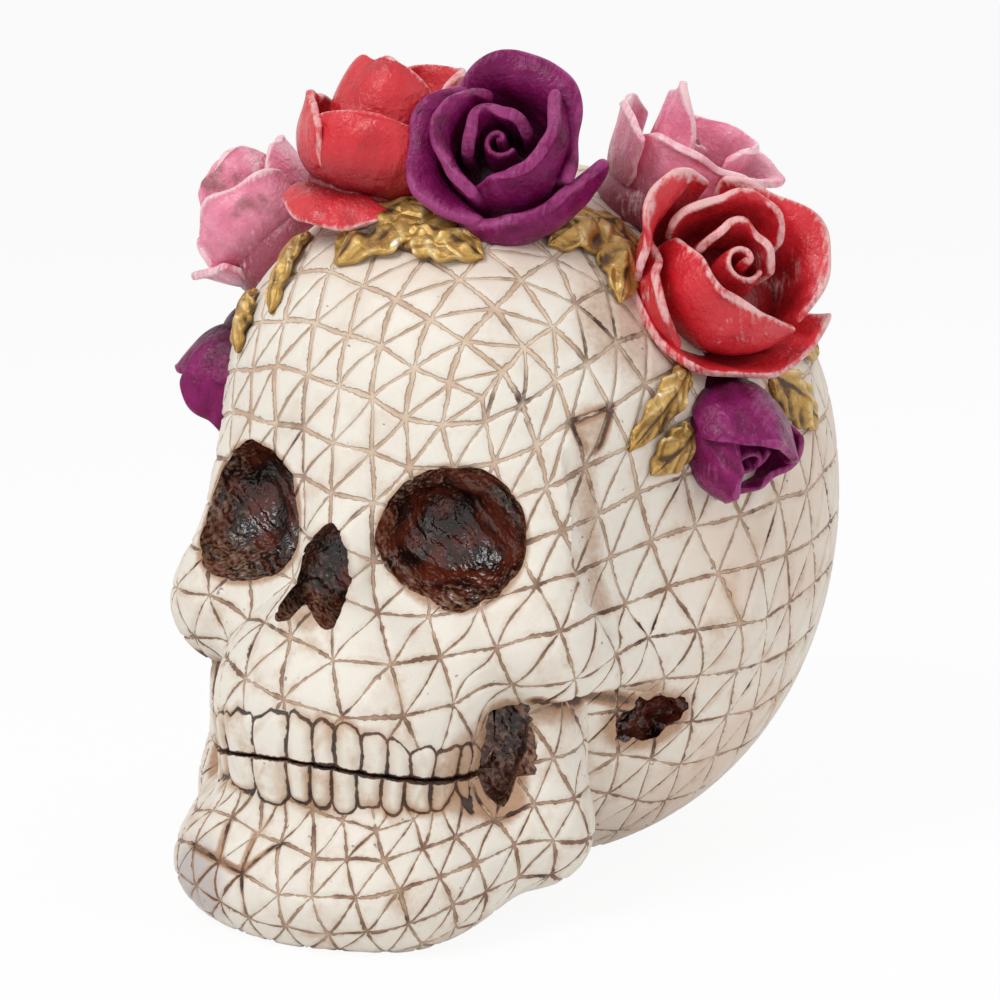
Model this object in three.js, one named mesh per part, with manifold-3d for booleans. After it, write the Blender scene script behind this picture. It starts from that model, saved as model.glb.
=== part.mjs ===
// Sugar skull with a garland of roses and gilded leaves.
// A cast skull and its lower jaw stand on a flat base, and every rose is a bud core with separate petals.
// Millimetres, +Z up. The face looks along -Y, the skull's own left side is +X, and the origin lies on
// the flat base in the plane of symmetry.
import * as THREE from 'three';
import { mergeVertices } from 'three/addons/utils/BufferGeometryUtils.js';
import Module from 'manifold-3d';

const wasm = await Module();
wasm.setup();

// Clearance between pieces that touch.
const SEAM = 0.3;

// Main sizes of the braincase, the height of its crown and how far back its middle lies.
const SKULL_WIDTH = 110;
const SKULL_LENGTH = 120;
const BRAINCASE_HEIGHT = 112;
const CROWN_HEIGHT = 122;
const BRAINCASE_BACK = 20;
const LOWER_INSET = 4;

// Bone masses of the skull. An ellipsoid has a centre and half-axes, a capsule runs between two ends,
// and blend is the width over which a mass melts into the ones before it. Masses repeat on both sides.
const BRAINCASE = {
  at: [0, BRAINCASE_BACK, CROWN_HEIGHT - BRAINCASE_HEIGHT / 2],
  radii: [SKULL_WIDTH / 2, SKULL_LENGTH / 2, BRAINCASE_HEIGHT / 2],
};
const LOWER_BRAINCASE = {
  at: [0, 18, 45],
  radii: [SKULL_WIDTH / 2 - LOWER_INSET, SKULL_LENGTH / 2, 50],
  blend: 12,
};
const FOREHEAD = { at: [0, -12, 84], radii: [38, 32, 35], blend: 14 };
const ORBIT_BLOCK = { at: [0, -25, 63], radii: [38, 18, 18], blend: 10 };
const CHEEKBONE = { at: [28, -34, 50], radii: [11, 12, 11], blend: 10 };
const CHEEK_ARCH = { from: [33, -32, 47], to: [45, 0, 47], radius: 7.5, blend: 8 };
const UPPER_JAW = { at: [0, -42, 35], radii: [25, 21.5, 22], blend: 6 };
const NOSE_BRIDGE = { from: [0, -40, 76], to: [0, -51, 55], radius: 5, blend: 7 };
const TEMPLE_HOLLOW = { at: [62, -25, 66], radii: [18, 20, 20], blend: 14 };

// Bone masses of the lower jaw.
const CHIN = { at: [0, -50, 9], radii: [28, 20, 13] };
const JAW_BODY = { from: [15, -53, 11], to: [29, -31, 15], radius: 9, blend: 8 };
const JAW_BRANCH = { at: [28.5, -30.5, 27], radii: [7.5, 8.5, 20], blend: 6 };
const LOWER_TEETH = { at: [0, -42, 31], radii: [24.5, 21, 24], blend: 6 };

// The mouth line parts the upper teeth from the lower, and the jaw ends at its back plane.
const MOUTH_LINE = 31.8;
const JAW_BACK = -30;

// Hollows cut into the bone.
const EYE_SOCKET = { at: [20.5, -46, 66.5], radii: [12.3, 14, 11.9] };
const EAR_HOLLOW = { at: [46, -18, 32], radii: [7, 8, 5] };
const JAW_SLOT = { from: [30, -42, 36], to: [31, -41, 21], radius: 4 };
const NOSE = { apex: 69, foot: 52, wide: 13, notch: 2.5, back: -46 };

// Rays from these cores find the bone's surface, and REACH is longer than any of them.
const CORE_DROP = 4;
const CRANIUM_CORE = [0, 0, BRAINCASE.at[2] - CORE_DROP];
const CRANIUM_STEPS = 13;
const JAW_CORE = [0, -40, 18];
const JAW_STEPS = 8;
const REACH = 2 * (BRAINCASE_BACK + SKULL_LENGTH / 2);
const RAY_STEP = 1;
const RAY_HALVINGS = 24;
const MERGE = 1e-4;
const SOCKET_SIDES = 18;
const SOCKET_RINGS = 12;
const SLOT_SIDES = 8;
const SLOT_RINGS = 3;
const NOSE_STEPS = 6;

// Petals taper from foot to rim and are narrower at the waist. Layers of petals stand one outside the other
// on the bud core, and each profile runs out to its belly between BELLY_START and BELLY_END of its height.
const PETAL_FOOT = 2.2;
const PETAL_RIM = 1.4;
const PETAL_WAIST = 0.6;
const RIM_ROUND = 0.25;
const BELLY_START = 0.125;
const BELLY_END = 0.75;
const LAYER_GAP = 0.4;
const PETAL_STEPS = 5;
const STEM_SUNK = 8;
const BUD_TAPER = 0.7;
const CORE_SIDES = 10;
const SLOPE_STEP = 1e-3;

const LEAF_THICK = 1.6;
const LEAF_LIFT = 0.4;
const LEAF_STALK = 0.2;
const LEAF_STEPS = 4;

const BONE = { colour: '#efe9dc', roughness: 0.6 };
const PURPLE = { colour: '#7a2a6a', roughness: 0.4 };
const RED = { colour: '#d8343e', roughness: 0.4 };
const PINK = { colour: '#e27fa0', roughness: 0.5 };
const GOLD = { colour: '#b08a3e', roughness: 0.4 };

// A bearing is an angle round from straight ahead towards the skull's left, and an angle up, in degrees.
// Names give left and right as seen by someone who faces the skull.
// Each rose stands a little off the skull at its seat bearing and looks along its facing bearing. A petal
// is centred on its turn, spans its spread to each side, swells towards its belly and ends at its rim.
// tuck slides one edge outwards and the other inwards, and point draws the middle of the rim out.
const ROSES = [
  {
    name: 'crown_rose', paint: PURPLE, seat: [45, 74], stand: 4, facing: [22, 30],
    core: { radius: 3.2, tall: 14 },
    petals: [
      { name: 'inner_top', turn: 110, spread: 80, layer: 0, belly: 6.2, rim: 4.6, tall: 17, tuck: 0.5 },
      { name: 'inner_right', turn: 322, spread: 80, layer: 1, belly: 12.5, rim: 5.5, tall: 18, tuck: 1.8 },
      { name: 'inner_left', turn: 178, spread: 72, layer: 1, belly: 11, rim: 9.5, tall: 17, tuck: 1.2 },
      { name: 'outer_left', turn: 195, spread: 66, layer: 2, belly: 15, rim: 15.5, tall: 15, tuck: 0.8 },
      { name: 'outer_top', turn: 55, spread: 76, layer: 2, belly: 15, rim: 15.5, tall: 15, tuck: 0.8 },
      { name: 'lower_lip', turn: 300, spread: 55, layer: 2, belly: 20, rim: 12, tall: 14, tuck: 1.5 },
    ],
  },
  {
    name: 'right_red_rose', paint: RED, seat: [99, 44], stand: 1, facing: [52, 28],
    core: { radius: 3.2, tall: 15 },
    petals: [
      { name: 'inner_top', turn: 70, spread: 85, layer: 0, belly: 6.5, rim: 5, tall: 17, tuck: 0.6 },
      { name: 'inner_front', turn: 225, spread: 78, layer: 1, belly: 13, rim: 6.5, tall: 18, tuck: 1.2 },
      { name: 'back_top', turn: 82, spread: 62, layer: 1, belly: 11, rim: 11, tall: 18, tuck: 1.2 },
      { name: 'folded', turn: 138, spread: 42, layer: 2, belly: 16, rim: 17, tall: 18, tuck: 0.8, point: 2 },
      { name: 'side_left', turn: 200, spread: 42, layer: 2, belly: 19, rim: 15, tall: 14, tuck: 1.5 },
      { name: 'outer_right', turn: 20, spread: 62, layer: 2, belly: 15.5, rim: 17.5, tall: 14, tuck: 0.8 },
      { name: 'lower_lip', turn: 280, spread: 66, layer: 2, belly: 16, rim: 21, tall: 9, tuck: 1 },
    ],
  },
  {
    name: 'left_red_rose', paint: RED, seat: [-33, 70], stand: 1, facing: [119, 78],
    core: { radius: 3.2, tall: 18 },
    petals: [
      { name: 'top_fold', turn: 150, spread: 85, layer: 0, belly: 11, rim: 4.5, tall: 24, tuck: 0.8 },
      { name: 'top_back', turn: 300, spread: 80, layer: 0, belly: 12, rim: 11, tall: 24, tuck: 0.8 },
      { name: 'front', turn: 178, spread: 60, layer: 1, belly: 16, rim: 12, tall: 15.5, tuck: 1 },
      { name: 'side', turn: 85, spread: 55, layer: 1, belly: 15, rim: 12, tall: 16, tuck: 1.2 },
      { name: 'back', turn: 315, spread: 66, layer: 1, belly: 15, rim: 16, tall: 20, tuck: 1.2 },
      { name: 'lower_lip', turn: 140, spread: 46, layer: 2, belly: 15, rim: 19, tall: -5, tuck: 0.5 },
    ],
  },
  {
    name: 'right_pink_rose', paint: PINK, seat: [120, 59], stand: 1, facing: [100, 62],
    core: { radius: 3.2, tall: 13 },
    petals: [
      { name: 'pointed', turn: 135, spread: 60, layer: 0, belly: 7, rim: 8, tall: 18, tuck: 0.6, point: 6 },
      { name: 'inner_right', turn: 315, spread: 80, layer: 0, belly: 7, rim: 6, tall: 16, tuck: 0.6 },
      { name: 'front', turn: 199, spread: 58, layer: 1, belly: 11.5, rim: 12, tall: 15, tuck: 1 },
      { name: 'left', turn: 110, spread: 52, layer: 1, belly: 13.5, rim: 15, tall: 16, tuck: 1.2 },
      { name: 'right', turn: 300, spread: 58, layer: 1, belly: 12.5, rim: 17, tall: 17, tuck: 1.2 },
      { name: 'lower_lip', turn: 250, spread: 42, layer: 2, belly: 14, rim: 19, tall: 9, tuck: 0.5 },
    ],
  },
  {
    name: 'right_bud', paint: PURPLE, seat: [88, 29], stand: 1, facing: [60, -40],
    core: { radius: 3, tall: 15 },
    petals: [
      { name: 'upper', turn: 75, spread: 85, layer: 0, belly: 9.5, rim: 9.5, tall: 19, tuck: 0.8 },
      { name: 'left', turn: 195, spread: 55, layer: 0, belly: 9.5, rim: 8, tall: 20, tuck: 1, point: 2 },
      { name: 'lower', turn: 305, spread: 62, layer: 0, belly: 9.5, rim: 9, tall: 17, tuck: 1 },
    ],
  },
  {
    name: 'left_pink_rose', paint: PINK, seat: [-70, 54], stand: 1, facing: [-72, 45],
    core: { radius: 3, tall: 15 },
    petals: [
      { name: 'inner_front', turn: 25, spread: 88, layer: 0, belly: 7, rim: 5, tall: 19, tuck: 0.6 },
      { name: 'inner_back', turn: 205, spread: 80, layer: 0, belly: 7, rim: 6, tall: 20, tuck: 0.6 },
      { name: 'front', turn: 350, spread: 60, layer: 1, belly: 12.5, rim: 9, tall: 17, tuck: 1 },
      { name: 'upper', turn: 100, spread: 62, layer: 1, belly: 12, rim: 11, tall: 18, tuck: 1 },
      { name: 'left_lip', turn: 225, spread: 50, layer: 1, belly: 12, rim: 15, tall: 14, tuck: 1 },
      { name: 'lower_lip', turn: 276, spread: 50, layer: 2, belly: 13, rim: 18, tall: 9, tuck: 0.5 },
    ],
  },
  {
    name: 'left_bud', paint: PURPLE, seat: [-59, 41], stand: 1, facing: [-46, -57],
    core: { radius: 3, tall: 14 },
    petals: [
      { name: 'upper', turn: 80, spread: 75, layer: 0, belly: 8, rim: 7, tall: 18, tuck: 0.8 },
      { name: 'left', turn: 170, spread: 60, layer: 0, belly: 8, rim: 7.5, tall: 17, tuck: 1 },
      { name: 'right', turn: 358, spread: 60, layer: 0, belly: 8, rim: 7, tall: 18, tuck: 1 },
    ],
  },
];

// A leaf lies on the skull from the bearing of its stalk to that of its tip, raised along its mid-rib.
const LEAVES = [
  { name: 'front_leaf_left', stalk: [6, 64], tip: [-12, 52], wide: 12, rib: 2 },
  { name: 'front_leaf_middle', stalk: [9, 60], tip: [28, 54], wide: 8, rib: 1.5 },
  { name: 'brow_leaf', stalk: [-40, 58], tip: [-28, 42], wide: 6, rib: 1 },
  { name: 'temple_leaf_left', stalk: [-47, 45], tip: [-38, 34], wide: 7, rib: 1.5 },
  { name: 'front_leaf_right', stalk: [92, 62], tip: [51, 58], wide: 11, rib: 2 },
  { name: 'front_leaf_lower', stalk: [88, 61], tip: [66, 46], wide: 10, rib: 2 },
  { name: 'temple_leaf_slender', stalk: [80, 33], tip: [62, 20], wide: 6, rib: 1.5 },
  { name: 'temple_leaf_folded', stalk: [79, 22], tip: [68, 15], wide: 7, rib: 2 },
  { name: 'side_leaf_upper', stalk: [112, 34], tip: [128, 23], wide: 10, rib: 1.5 },
  { name: 'side_leaf_lower', stalk: [104, 26], tip: [114, 14], wide: 9, rib: 1.5 },
  { name: 'back_leaf_right', stalk: [131, 57], tip: [150, 45], wide: 11, rib: 2 },
  { name: 'back_leaf_middle', stalk: [-95, 80], tip: [-152, 67], wide: 11, rib: 2 },
  { name: 'back_leaf_left', stalk: [-89, 53], tip: [-112, 43], wide: 11, rib: 2 },
];

function ellipsoid(p, { at, radii }) {
  const q = p.map((value, axis) => (value - at[axis]) / radii[axis]);
  const near = Math.hypot(...q);
  const slope = Math.hypot(...q.map((value, axis) => value / radii[axis]));
  return slope > 0 ? near * (near - 1) / slope : -Math.min(...radii);
}

function capsule(p, { from, to, radius }) {
  const along = to.map((value, axis) => value - from[axis]);
  const offset = p.map((value, axis) => value - from[axis]);
  const dot = along.reduce((sum, value, axis) => sum + value * offset[axis], 0);
  const share = THREE.MathUtils.clamp(dot / along.reduce((sum, value) => sum + value * value, 0), 0, 1);
  return Math.hypot(...offset.map((value, axis) => value - share * along[axis])) - radius;
}

const massOf = (p, mass) => (mass.from ? capsule(p, mass) : ellipsoid(p, mass));

function smoothUnion(a, b, width) {
  const overlap = Math.max(width - Math.abs(a - b), 0) / width;
  return Math.min(a, b) - overlap * overlap * width / 4;
}

const smoothCut = (a, b, width) => -smoothUnion(-a, b, width);

const mirrored = ([x, y, z]) => [Math.abs(x), y, z];

const FACE_MASSES = [FOREHEAD, ORBIT_BLOCK, CHEEKBONE, CHEEK_ARCH, UPPER_JAW, NOSE_BRIDGE];
const CRANIUM_MASSES = [LOWER_BRAINCASE, ...FACE_MASSES];
const JAW_MASSES = [JAW_BODY, JAW_BRANCH, LOWER_TEETH];

function craniumField(point) {
  const p = mirrored(point);
  const join = (depth, mass) => smoothUnion(depth, massOf(p, mass), mass.blend);
  const depth = CRANIUM_MASSES.reduce(join, ellipsoid(p, BRAINCASE));
  return smoothCut(depth, ellipsoid(p, TEMPLE_HOLLOW), TEMPLE_HOLLOW.blend);
}

function jawField(point) {
  const p = mirrored(point);
  const join = (depth, mass) => smoothUnion(depth, massOf(p, mass), mass.blend);
  return JAW_MASSES.reduce(join, ellipsoid(p, CHIN));
}

// The point where a ray from the core leaves the bone, searched from outside.
function surfacePoint(field, core, direction) {
  const at = (distance) => core.map((value, axis) => value + direction[axis] * distance);
  let outside = REACH;
  while (outside > RAY_STEP && field(at(outside - RAY_STEP)) > 0) outside -= RAY_STEP;
  let inside = outside - RAY_STEP;
  for (let step = 0; step < RAY_HALVINGS; step += 1) {
    const middle = (inside + outside) / 2;
    if (field(at(middle)) > 0) outside = middle;
    else inside = middle;
  }
  return at(inside);
}

function sculpt(field, core, detail) {
  const geometry = new THREE.IcosahedronGeometry(1, detail);
  geometry.deleteAttribute('normal');
  geometry.deleteAttribute('uv');
  const merged = mergeVertices(geometry, MERGE);
  const { position } = merged.attributes;
  for (let i = 0; i < position.count; i += 1) {
    const direction = [position.getX(i), position.getY(i), position.getZ(i)];
    position.setXYZ(i, ...surfacePoint(field, core, direction));
  }
  return toSolid(merged);
}

function toSolid(geometry) {
  const bare = geometry.clone();
  bare.deleteAttribute('normal');
  bare.deleteAttribute('uv');
  const merged = mergeVertices(bare, MERGE);
  const mesh = new wasm.Mesh({
    numProp: 3,
    vertProperties: new Float32Array(merged.attributes.position.array),
    triVerts: new Uint32Array(merged.index.array),
  });
  return new wasm.Manifold(mesh);
}

function toGeometry(solid) {
  const mesh = solid.getMesh();
  const geometry = new THREE.BufferGeometry();
  geometry.setAttribute('position', new THREE.BufferAttribute(new Float32Array(mesh.vertProperties), 3));
  geometry.setIndex(new THREE.BufferAttribute(new Uint32Array(mesh.triVerts), 1));
  return geometry;
}

const skull = new THREE.Group();

function addPiece(name, solid, { colour, roughness }) {
  const material = new THREE.MeshStandardMaterial({ color: colour, roughness, metalness: 0 });
  const mesh = new THREE.Mesh(toGeometry(solid), material);
  mesh.name = name;
  skull.add(mesh);
}

function boxSolid(low, high) {
  const size = high.map((value, axis) => value - low[axis]);
  const box = new THREE.BoxGeometry(...size);
  box.translate(...low.map((value, axis) => value + size[axis] / 2));
  return toSolid(box);
}

function ellipsoidSolid({ at, radii }, side) {
  const ball = new THREE.SphereGeometry(1, SOCKET_SIDES, SOCKET_RINGS);
  ball.scale(...radii);
  ball.translate(at[0] * side, at[1], at[2]);
  return toSolid(ball);
}

function capsuleSolid({ from, to, radius }, side) {
  const start = new THREE.Vector3(from[0] * side, from[1], from[2]);
  const end = new THREE.Vector3(to[0] * side, to[1], to[2]);
  const rod = new THREE.CapsuleGeometry(radius, start.distanceTo(end), SLOT_RINGS, SLOT_SIDES);
  const upright = new THREE.Vector3(0, 1, 0);
  const along = end.clone().sub(start).normalize();
  rod.applyQuaternion(new THREE.Quaternion().setFromUnitVectors(upright, along));
  rod.translate(...start.add(end).multiplyScalar(0.5).toArray());
  return toSolid(rod);
}

// The pear-shaped nose opening, notched at the middle of its foot.
function noseSolid({ apex, foot, wide, notch, back }) {
  const half = wide / 2;
  const tall = apex - foot;
  const outline = new THREE.Shape();
  outline.moveTo(0, apex);
  outline.bezierCurveTo(half / 2, apex, half, foot + tall / 2, half, foot + tall / 4);
  outline.bezierCurveTo(half, foot - notch / 2, half / 4, foot, 0, foot + notch);
  outline.bezierCurveTo(-half / 4, foot, -half, foot - notch / 2, -half, foot + tall / 4);
  outline.bezierCurveTo(-half, foot + tall / 2, -half / 2, apex, 0, apex);
  const depth = { depth: REACH, bevelEnabled: false, curveSegments: NOSE_STEPS };
  const opening = new THREE.ExtrudeGeometry(outline, depth);
  opening.rotateX(Math.PI / 2);
  opening.translate(0, back, 0);
  return toSolid(opening);
}

const belowFloor = boxSolid([-REACH, -REACH, -REACH], [REACH, REACH, 0]);
const bothSides = [1, -1];

// The room that the jaw fills under the upper teeth.
const underTeeth = (mouth, back) => boxSolid([-REACH, -REACH, -REACH], [REACH, back, mouth]);

let cranium = sculpt(craniumField, CRANIUM_CORE, CRANIUM_STEPS).subtract(belowFloor);
cranium = cranium.subtract(underTeeth(MOUTH_LINE + SEAM, JAW_BACK)).subtract(noseSolid(NOSE));
for (const side of bothSides) {
  cranium = cranium.subtract(ellipsoidSolid(EYE_SOCKET, side));
  cranium = cranium.subtract(ellipsoidSolid(EAR_HOLLOW, side));
  cranium = cranium.subtract(capsuleSolid(JAW_SLOT, side));
}
addPiece('cranium', cranium, BONE);

const craniumGrown = sculpt((p) => craniumField(p) - SEAM, CRANIUM_CORE, CRANIUM_STEPS);
const jawRoom = craniumGrown.subtract(underTeeth(MOUTH_LINE, JAW_BACK - SEAM));
let jaw = sculpt(jawField, JAW_CORE, JAW_STEPS).subtract(belowFloor).subtract(jawRoom);
for (const side of bothSides) jaw = jaw.subtract(capsuleSolid(JAW_SLOT, side));
addPiece('lower_jaw', jaw, BONE);

function bearing([round, rise]) {
  const turn = THREE.MathUtils.degToRad(round);
  const lift = THREE.MathUtils.degToRad(rise);
  return new THREE.Vector3(Math.sin(turn) * Math.cos(lift), -Math.cos(turn) * Math.cos(lift), Math.sin(lift));
}

function onSkull(direction) {
  return new THREE.Vector3(...surfacePoint(craniumField, CRANIUM_CORE, direction.toArray()));
}

// Stands a rose on its seat: local Z looks along the facing bearing and local Y is as upright as it can be.
function roseFrame({ seat, stand, facing }) {
  const outward = bearing(seat);
  const ahead = bearing(facing);
  const across = new THREE.Vector3(0, 0, 1).cross(ahead).normalize();
  const frame = new THREE.Matrix4().makeBasis(across, ahead.clone().cross(across), ahead);
  return frame.setPosition(onSkull(outward).addScaledVector(outward, stand));
}

function coreSolid(rose, grow) {
  const { radius, tall } = rose.core;
  const wide = radius + grow;
  const waist = [wide, tall / 2];
  const shoulder = [wide * BUD_TAPER, tall - wide];
  const profile = [[0, -STEM_SUNK], [wide, -STEM_SUNK], waist, shoulder, [0, tall + grow]];
  const bud = new THREE.LatheGeometry(profile.map(([r, h]) => new THREE.Vector2(r, h)), CORE_SIDES);
  bud.rotateX(Math.PI / 2);
  bud.applyMatrix4(roseFrame(rose));
  return toSolid(bud);
}

// Radius at which the petals of a layer spring from the bud core.
function layerFoot(rose, layer) {
  return rose.core.radius + PETAL_FOOT / 2 + LAYER_GAP + layer * (PETAL_FOOT + LAYER_GAP);
}

// A point of the petal's middle sheet: u runs across from edge to edge and v from foot to rim.
function petalPoint(rose, petal, u, v) {
  const { turn, spread, layer, belly, rim, tall, tuck, point = 0 } = petal;
  const width = THREE.MathUtils.lerp(PETAL_WAIST, 1, Math.min(1, 2 * v));
  const angle = THREE.MathUtils.degToRad(turn + spread * u * width);
  const length = v * (1 - RIM_ROUND * u * u);
  const foot = layerFoot(rose, layer);
  const curve = new THREE.CubicBezierCurve(
    new THREE.Vector2(foot, 0),
    new THREE.Vector2(belly, tall * BELLY_START),
    new THREE.Vector2(belly, tall * BELLY_END),
    new THREE.Vector2(rim, tall),
  );
  const spot = curve.getPoint(length);
  const peak = point * (1 - Math.abs(u)) * v * v;
  const reach = spot.x + tuck * u * v;
  return new THREE.Vector3(reach * Math.cos(angle), reach * Math.sin(angle), spot.y + peak);
}

function petalSolid(rose, petal, grow) {
  const sheet = new THREE.BoxGeometry(2, 2, 1, PETAL_STEPS, 1, PETAL_STEPS);
  const { position } = sheet.attributes;
  const margin = grow / Math.hypot(petal.rim - layerFoot(rose, petal.layer), petal.tall);
  for (let i = 0; i < position.count; i += 1) {
    const u = position.getX(i) * (1 + grow / petal.belly);
    const v = (position.getZ(i) + 0.5) * (1 + 2 * margin) - margin;
    const middle = petalPoint(rose, petal, u, v);
    const across = petalPoint(rose, petal, u + SLOPE_STEP, v).sub(middle);
    const along = petalPoint(rose, petal, u, v + SLOPE_STEP).sub(middle);
    const normal = along.cross(across).normalize();
    const half = THREE.MathUtils.lerp(PETAL_FOOT, PETAL_RIM, v) / 2 + grow;
    position.setXYZ(i, ...middle.addScaledVector(normal, position.getY(i) * half).toArray());
  }
  sheet.applyMatrix4(roseFrame(rose));
  return toSolid(sheet);
}

// A leaf's middle sheet, laid on the skull: u runs across from edge to edge and v from stalk to tip.
function leafSolid(leaf, grow) {
  const core = new THREE.Vector3(...CRANIUM_CORE);
  const start = onSkull(bearing(leaf.stalk));
  const along = onSkull(bearing(leaf.tip)).sub(start);
  const across = start.clone().sub(core).cross(along).normalize();
  const sheet = new THREE.BoxGeometry(2, 2, 1, LEAF_STEPS, 1, LEAF_STEPS);
  const { position } = sheet.attributes;
  const margin = grow / along.length();
  for (let i = 0; i < position.count; i += 1) {
    const u = position.getX(i);
    const v = (position.getZ(i) + 0.5) * (1 + 2 * margin) - margin;
    const swell = Math.sin(Math.PI * THREE.MathUtils.clamp(v, 0, 1));
    const half = leaf.wide / 2 * THREE.MathUtils.lerp(LEAF_STALK, 1, swell) + grow;
    const spot = start.clone().addScaledVector(along, v).addScaledVector(across, u * half);
    const outward = spot.sub(core).normalize();
    const lift = SEAM + LEAF_LIFT + LEAF_THICK / 2 + leaf.rib * (1 - Math.abs(u)) * swell;
    const height = lift + position.getY(i) * (LEAF_THICK / 2 + grow);
    position.setXYZ(i, ...onSkull(outward).addScaledVector(outward, height).toArray());
  }
  return toSolid(sheet);
}

// Pieces already placed, kept a seam larger so that later pieces are cut clear of them.
const placed = [craniumGrown, sculpt((p) => jawField(p) - SEAM, JAW_CORE, JAW_STEPS)];

function largestBody(solid) {
  return solid.decompose().reduce((best, body) => (body.volume() > best.volume() ? body : best));
}

function place(name, paint, make) {
  const cut = placed.reduce((solid, neighbour) => solid.subtract(neighbour), make(0));
  addPiece(name, largestBody(cut), paint);
  placed.push(make(SEAM));
}

for (const rose of ROSES) {
  place(`${rose.name}_core`, rose.paint, (grow) => coreSolid(rose, grow));
  for (const petal of rose.petals) {
    place(`${rose.name}_${petal.name}`, rose.paint, (grow) => petalSolid(rose, petal, grow));
  }
}

for (const leaf of LEAVES) place(leaf.name, GOLD, (grow) => leafSolid(leaf, grow));

export default skull;
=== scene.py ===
"""Looks of the sugar skull: a carved cast skull under a garland of painted roses and gilded leaves.

Sizes are in millimetres and angles in degrees until a mesh is made, where millimetres become metres.
The face looks along -Y, +Z is up, and left and right are as seen by someone who faces the skull.
"""

import logging
import math
from collections.abc import Sequence
from dataclasses import dataclass, field
from enum import Enum

import bmesh
import bpy
import numpy as np
from mathutils import Matrix, Vector


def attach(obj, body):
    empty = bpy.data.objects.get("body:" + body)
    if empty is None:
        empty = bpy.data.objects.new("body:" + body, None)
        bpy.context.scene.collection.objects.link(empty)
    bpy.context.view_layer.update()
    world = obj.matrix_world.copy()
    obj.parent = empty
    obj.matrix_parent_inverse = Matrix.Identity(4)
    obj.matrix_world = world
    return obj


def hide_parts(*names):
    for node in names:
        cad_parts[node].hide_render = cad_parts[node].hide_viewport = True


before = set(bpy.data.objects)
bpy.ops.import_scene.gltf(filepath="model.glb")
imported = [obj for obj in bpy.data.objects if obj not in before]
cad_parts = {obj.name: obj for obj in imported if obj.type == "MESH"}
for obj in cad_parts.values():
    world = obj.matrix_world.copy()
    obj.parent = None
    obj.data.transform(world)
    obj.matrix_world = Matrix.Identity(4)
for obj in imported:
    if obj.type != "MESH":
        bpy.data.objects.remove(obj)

MM = 0.001
# A wave texture of scale 1 repeats at this distance.
WAVE_PERIOD = math.pi / 10.0
# Keeps a divisor off zero.
TINY = 1e-9
# Shorter than any edge that counts.
FLAT = 1e-6
BODY = "root"
LOG = logging.getLogger("sugar_skull")

Point = tuple[float, float, float]
Bearing = tuple[float, float]
Socket = bpy.types.NodeSocket
Value = Socket | float
Colour = Socket | str


class Slot(Enum):
    """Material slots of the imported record."""

    BONE = "bone"
    PURPLE = "purple_petal"
    RED = "red_petal"
    PINK = "pink_petal"
    GOLD = "gold_leaf"


def linear(colour: str) -> tuple[float, float, float, float]:
    """Turns a sRGB hex colour into linear light.

    Args:
        colour: hex text such as "#efe9dc".

    Returns:
        Red, green, blue and full opacity.
    """
    parts = [int(colour[i : i + 2], 16) / 255 for i in (1, 3, 5)]
    red, green, blue = (c / 12.92 if c <= 0.04045 else ((c + 0.055) / 1.055) ** 2.4 for c in parts)
    return (red, green, blue, 1.0)


def per_mm(size: float) -> float:
    """Gives the texture scale at which a pattern repeats about every size millimetres."""
    return 1.0 / (size * MM)


def add_node(
    tree: bpy.types.NodeTree, kind: str, links: dict | None = None, **settings: object
) -> bpy.types.Node:
    """Adds one node with its settings and links.

    Args:
        tree: node tree that gets the node.
        kind: Blender's type name of the node.
        links: input name or number to an output socket, which is linked, or to a plain value.
        **settings: attributes of the node.

    Returns:
        The new node.
    """
    node = tree.nodes.new(kind)
    for name, value in settings.items():
        setattr(node, name, value)
    for name, value in (links or {}).items():
        if isinstance(value, Socket):
            tree.links.new(value, node.inputs[name])
        else:
            node.inputs[name].default_value = value
    return node


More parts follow.
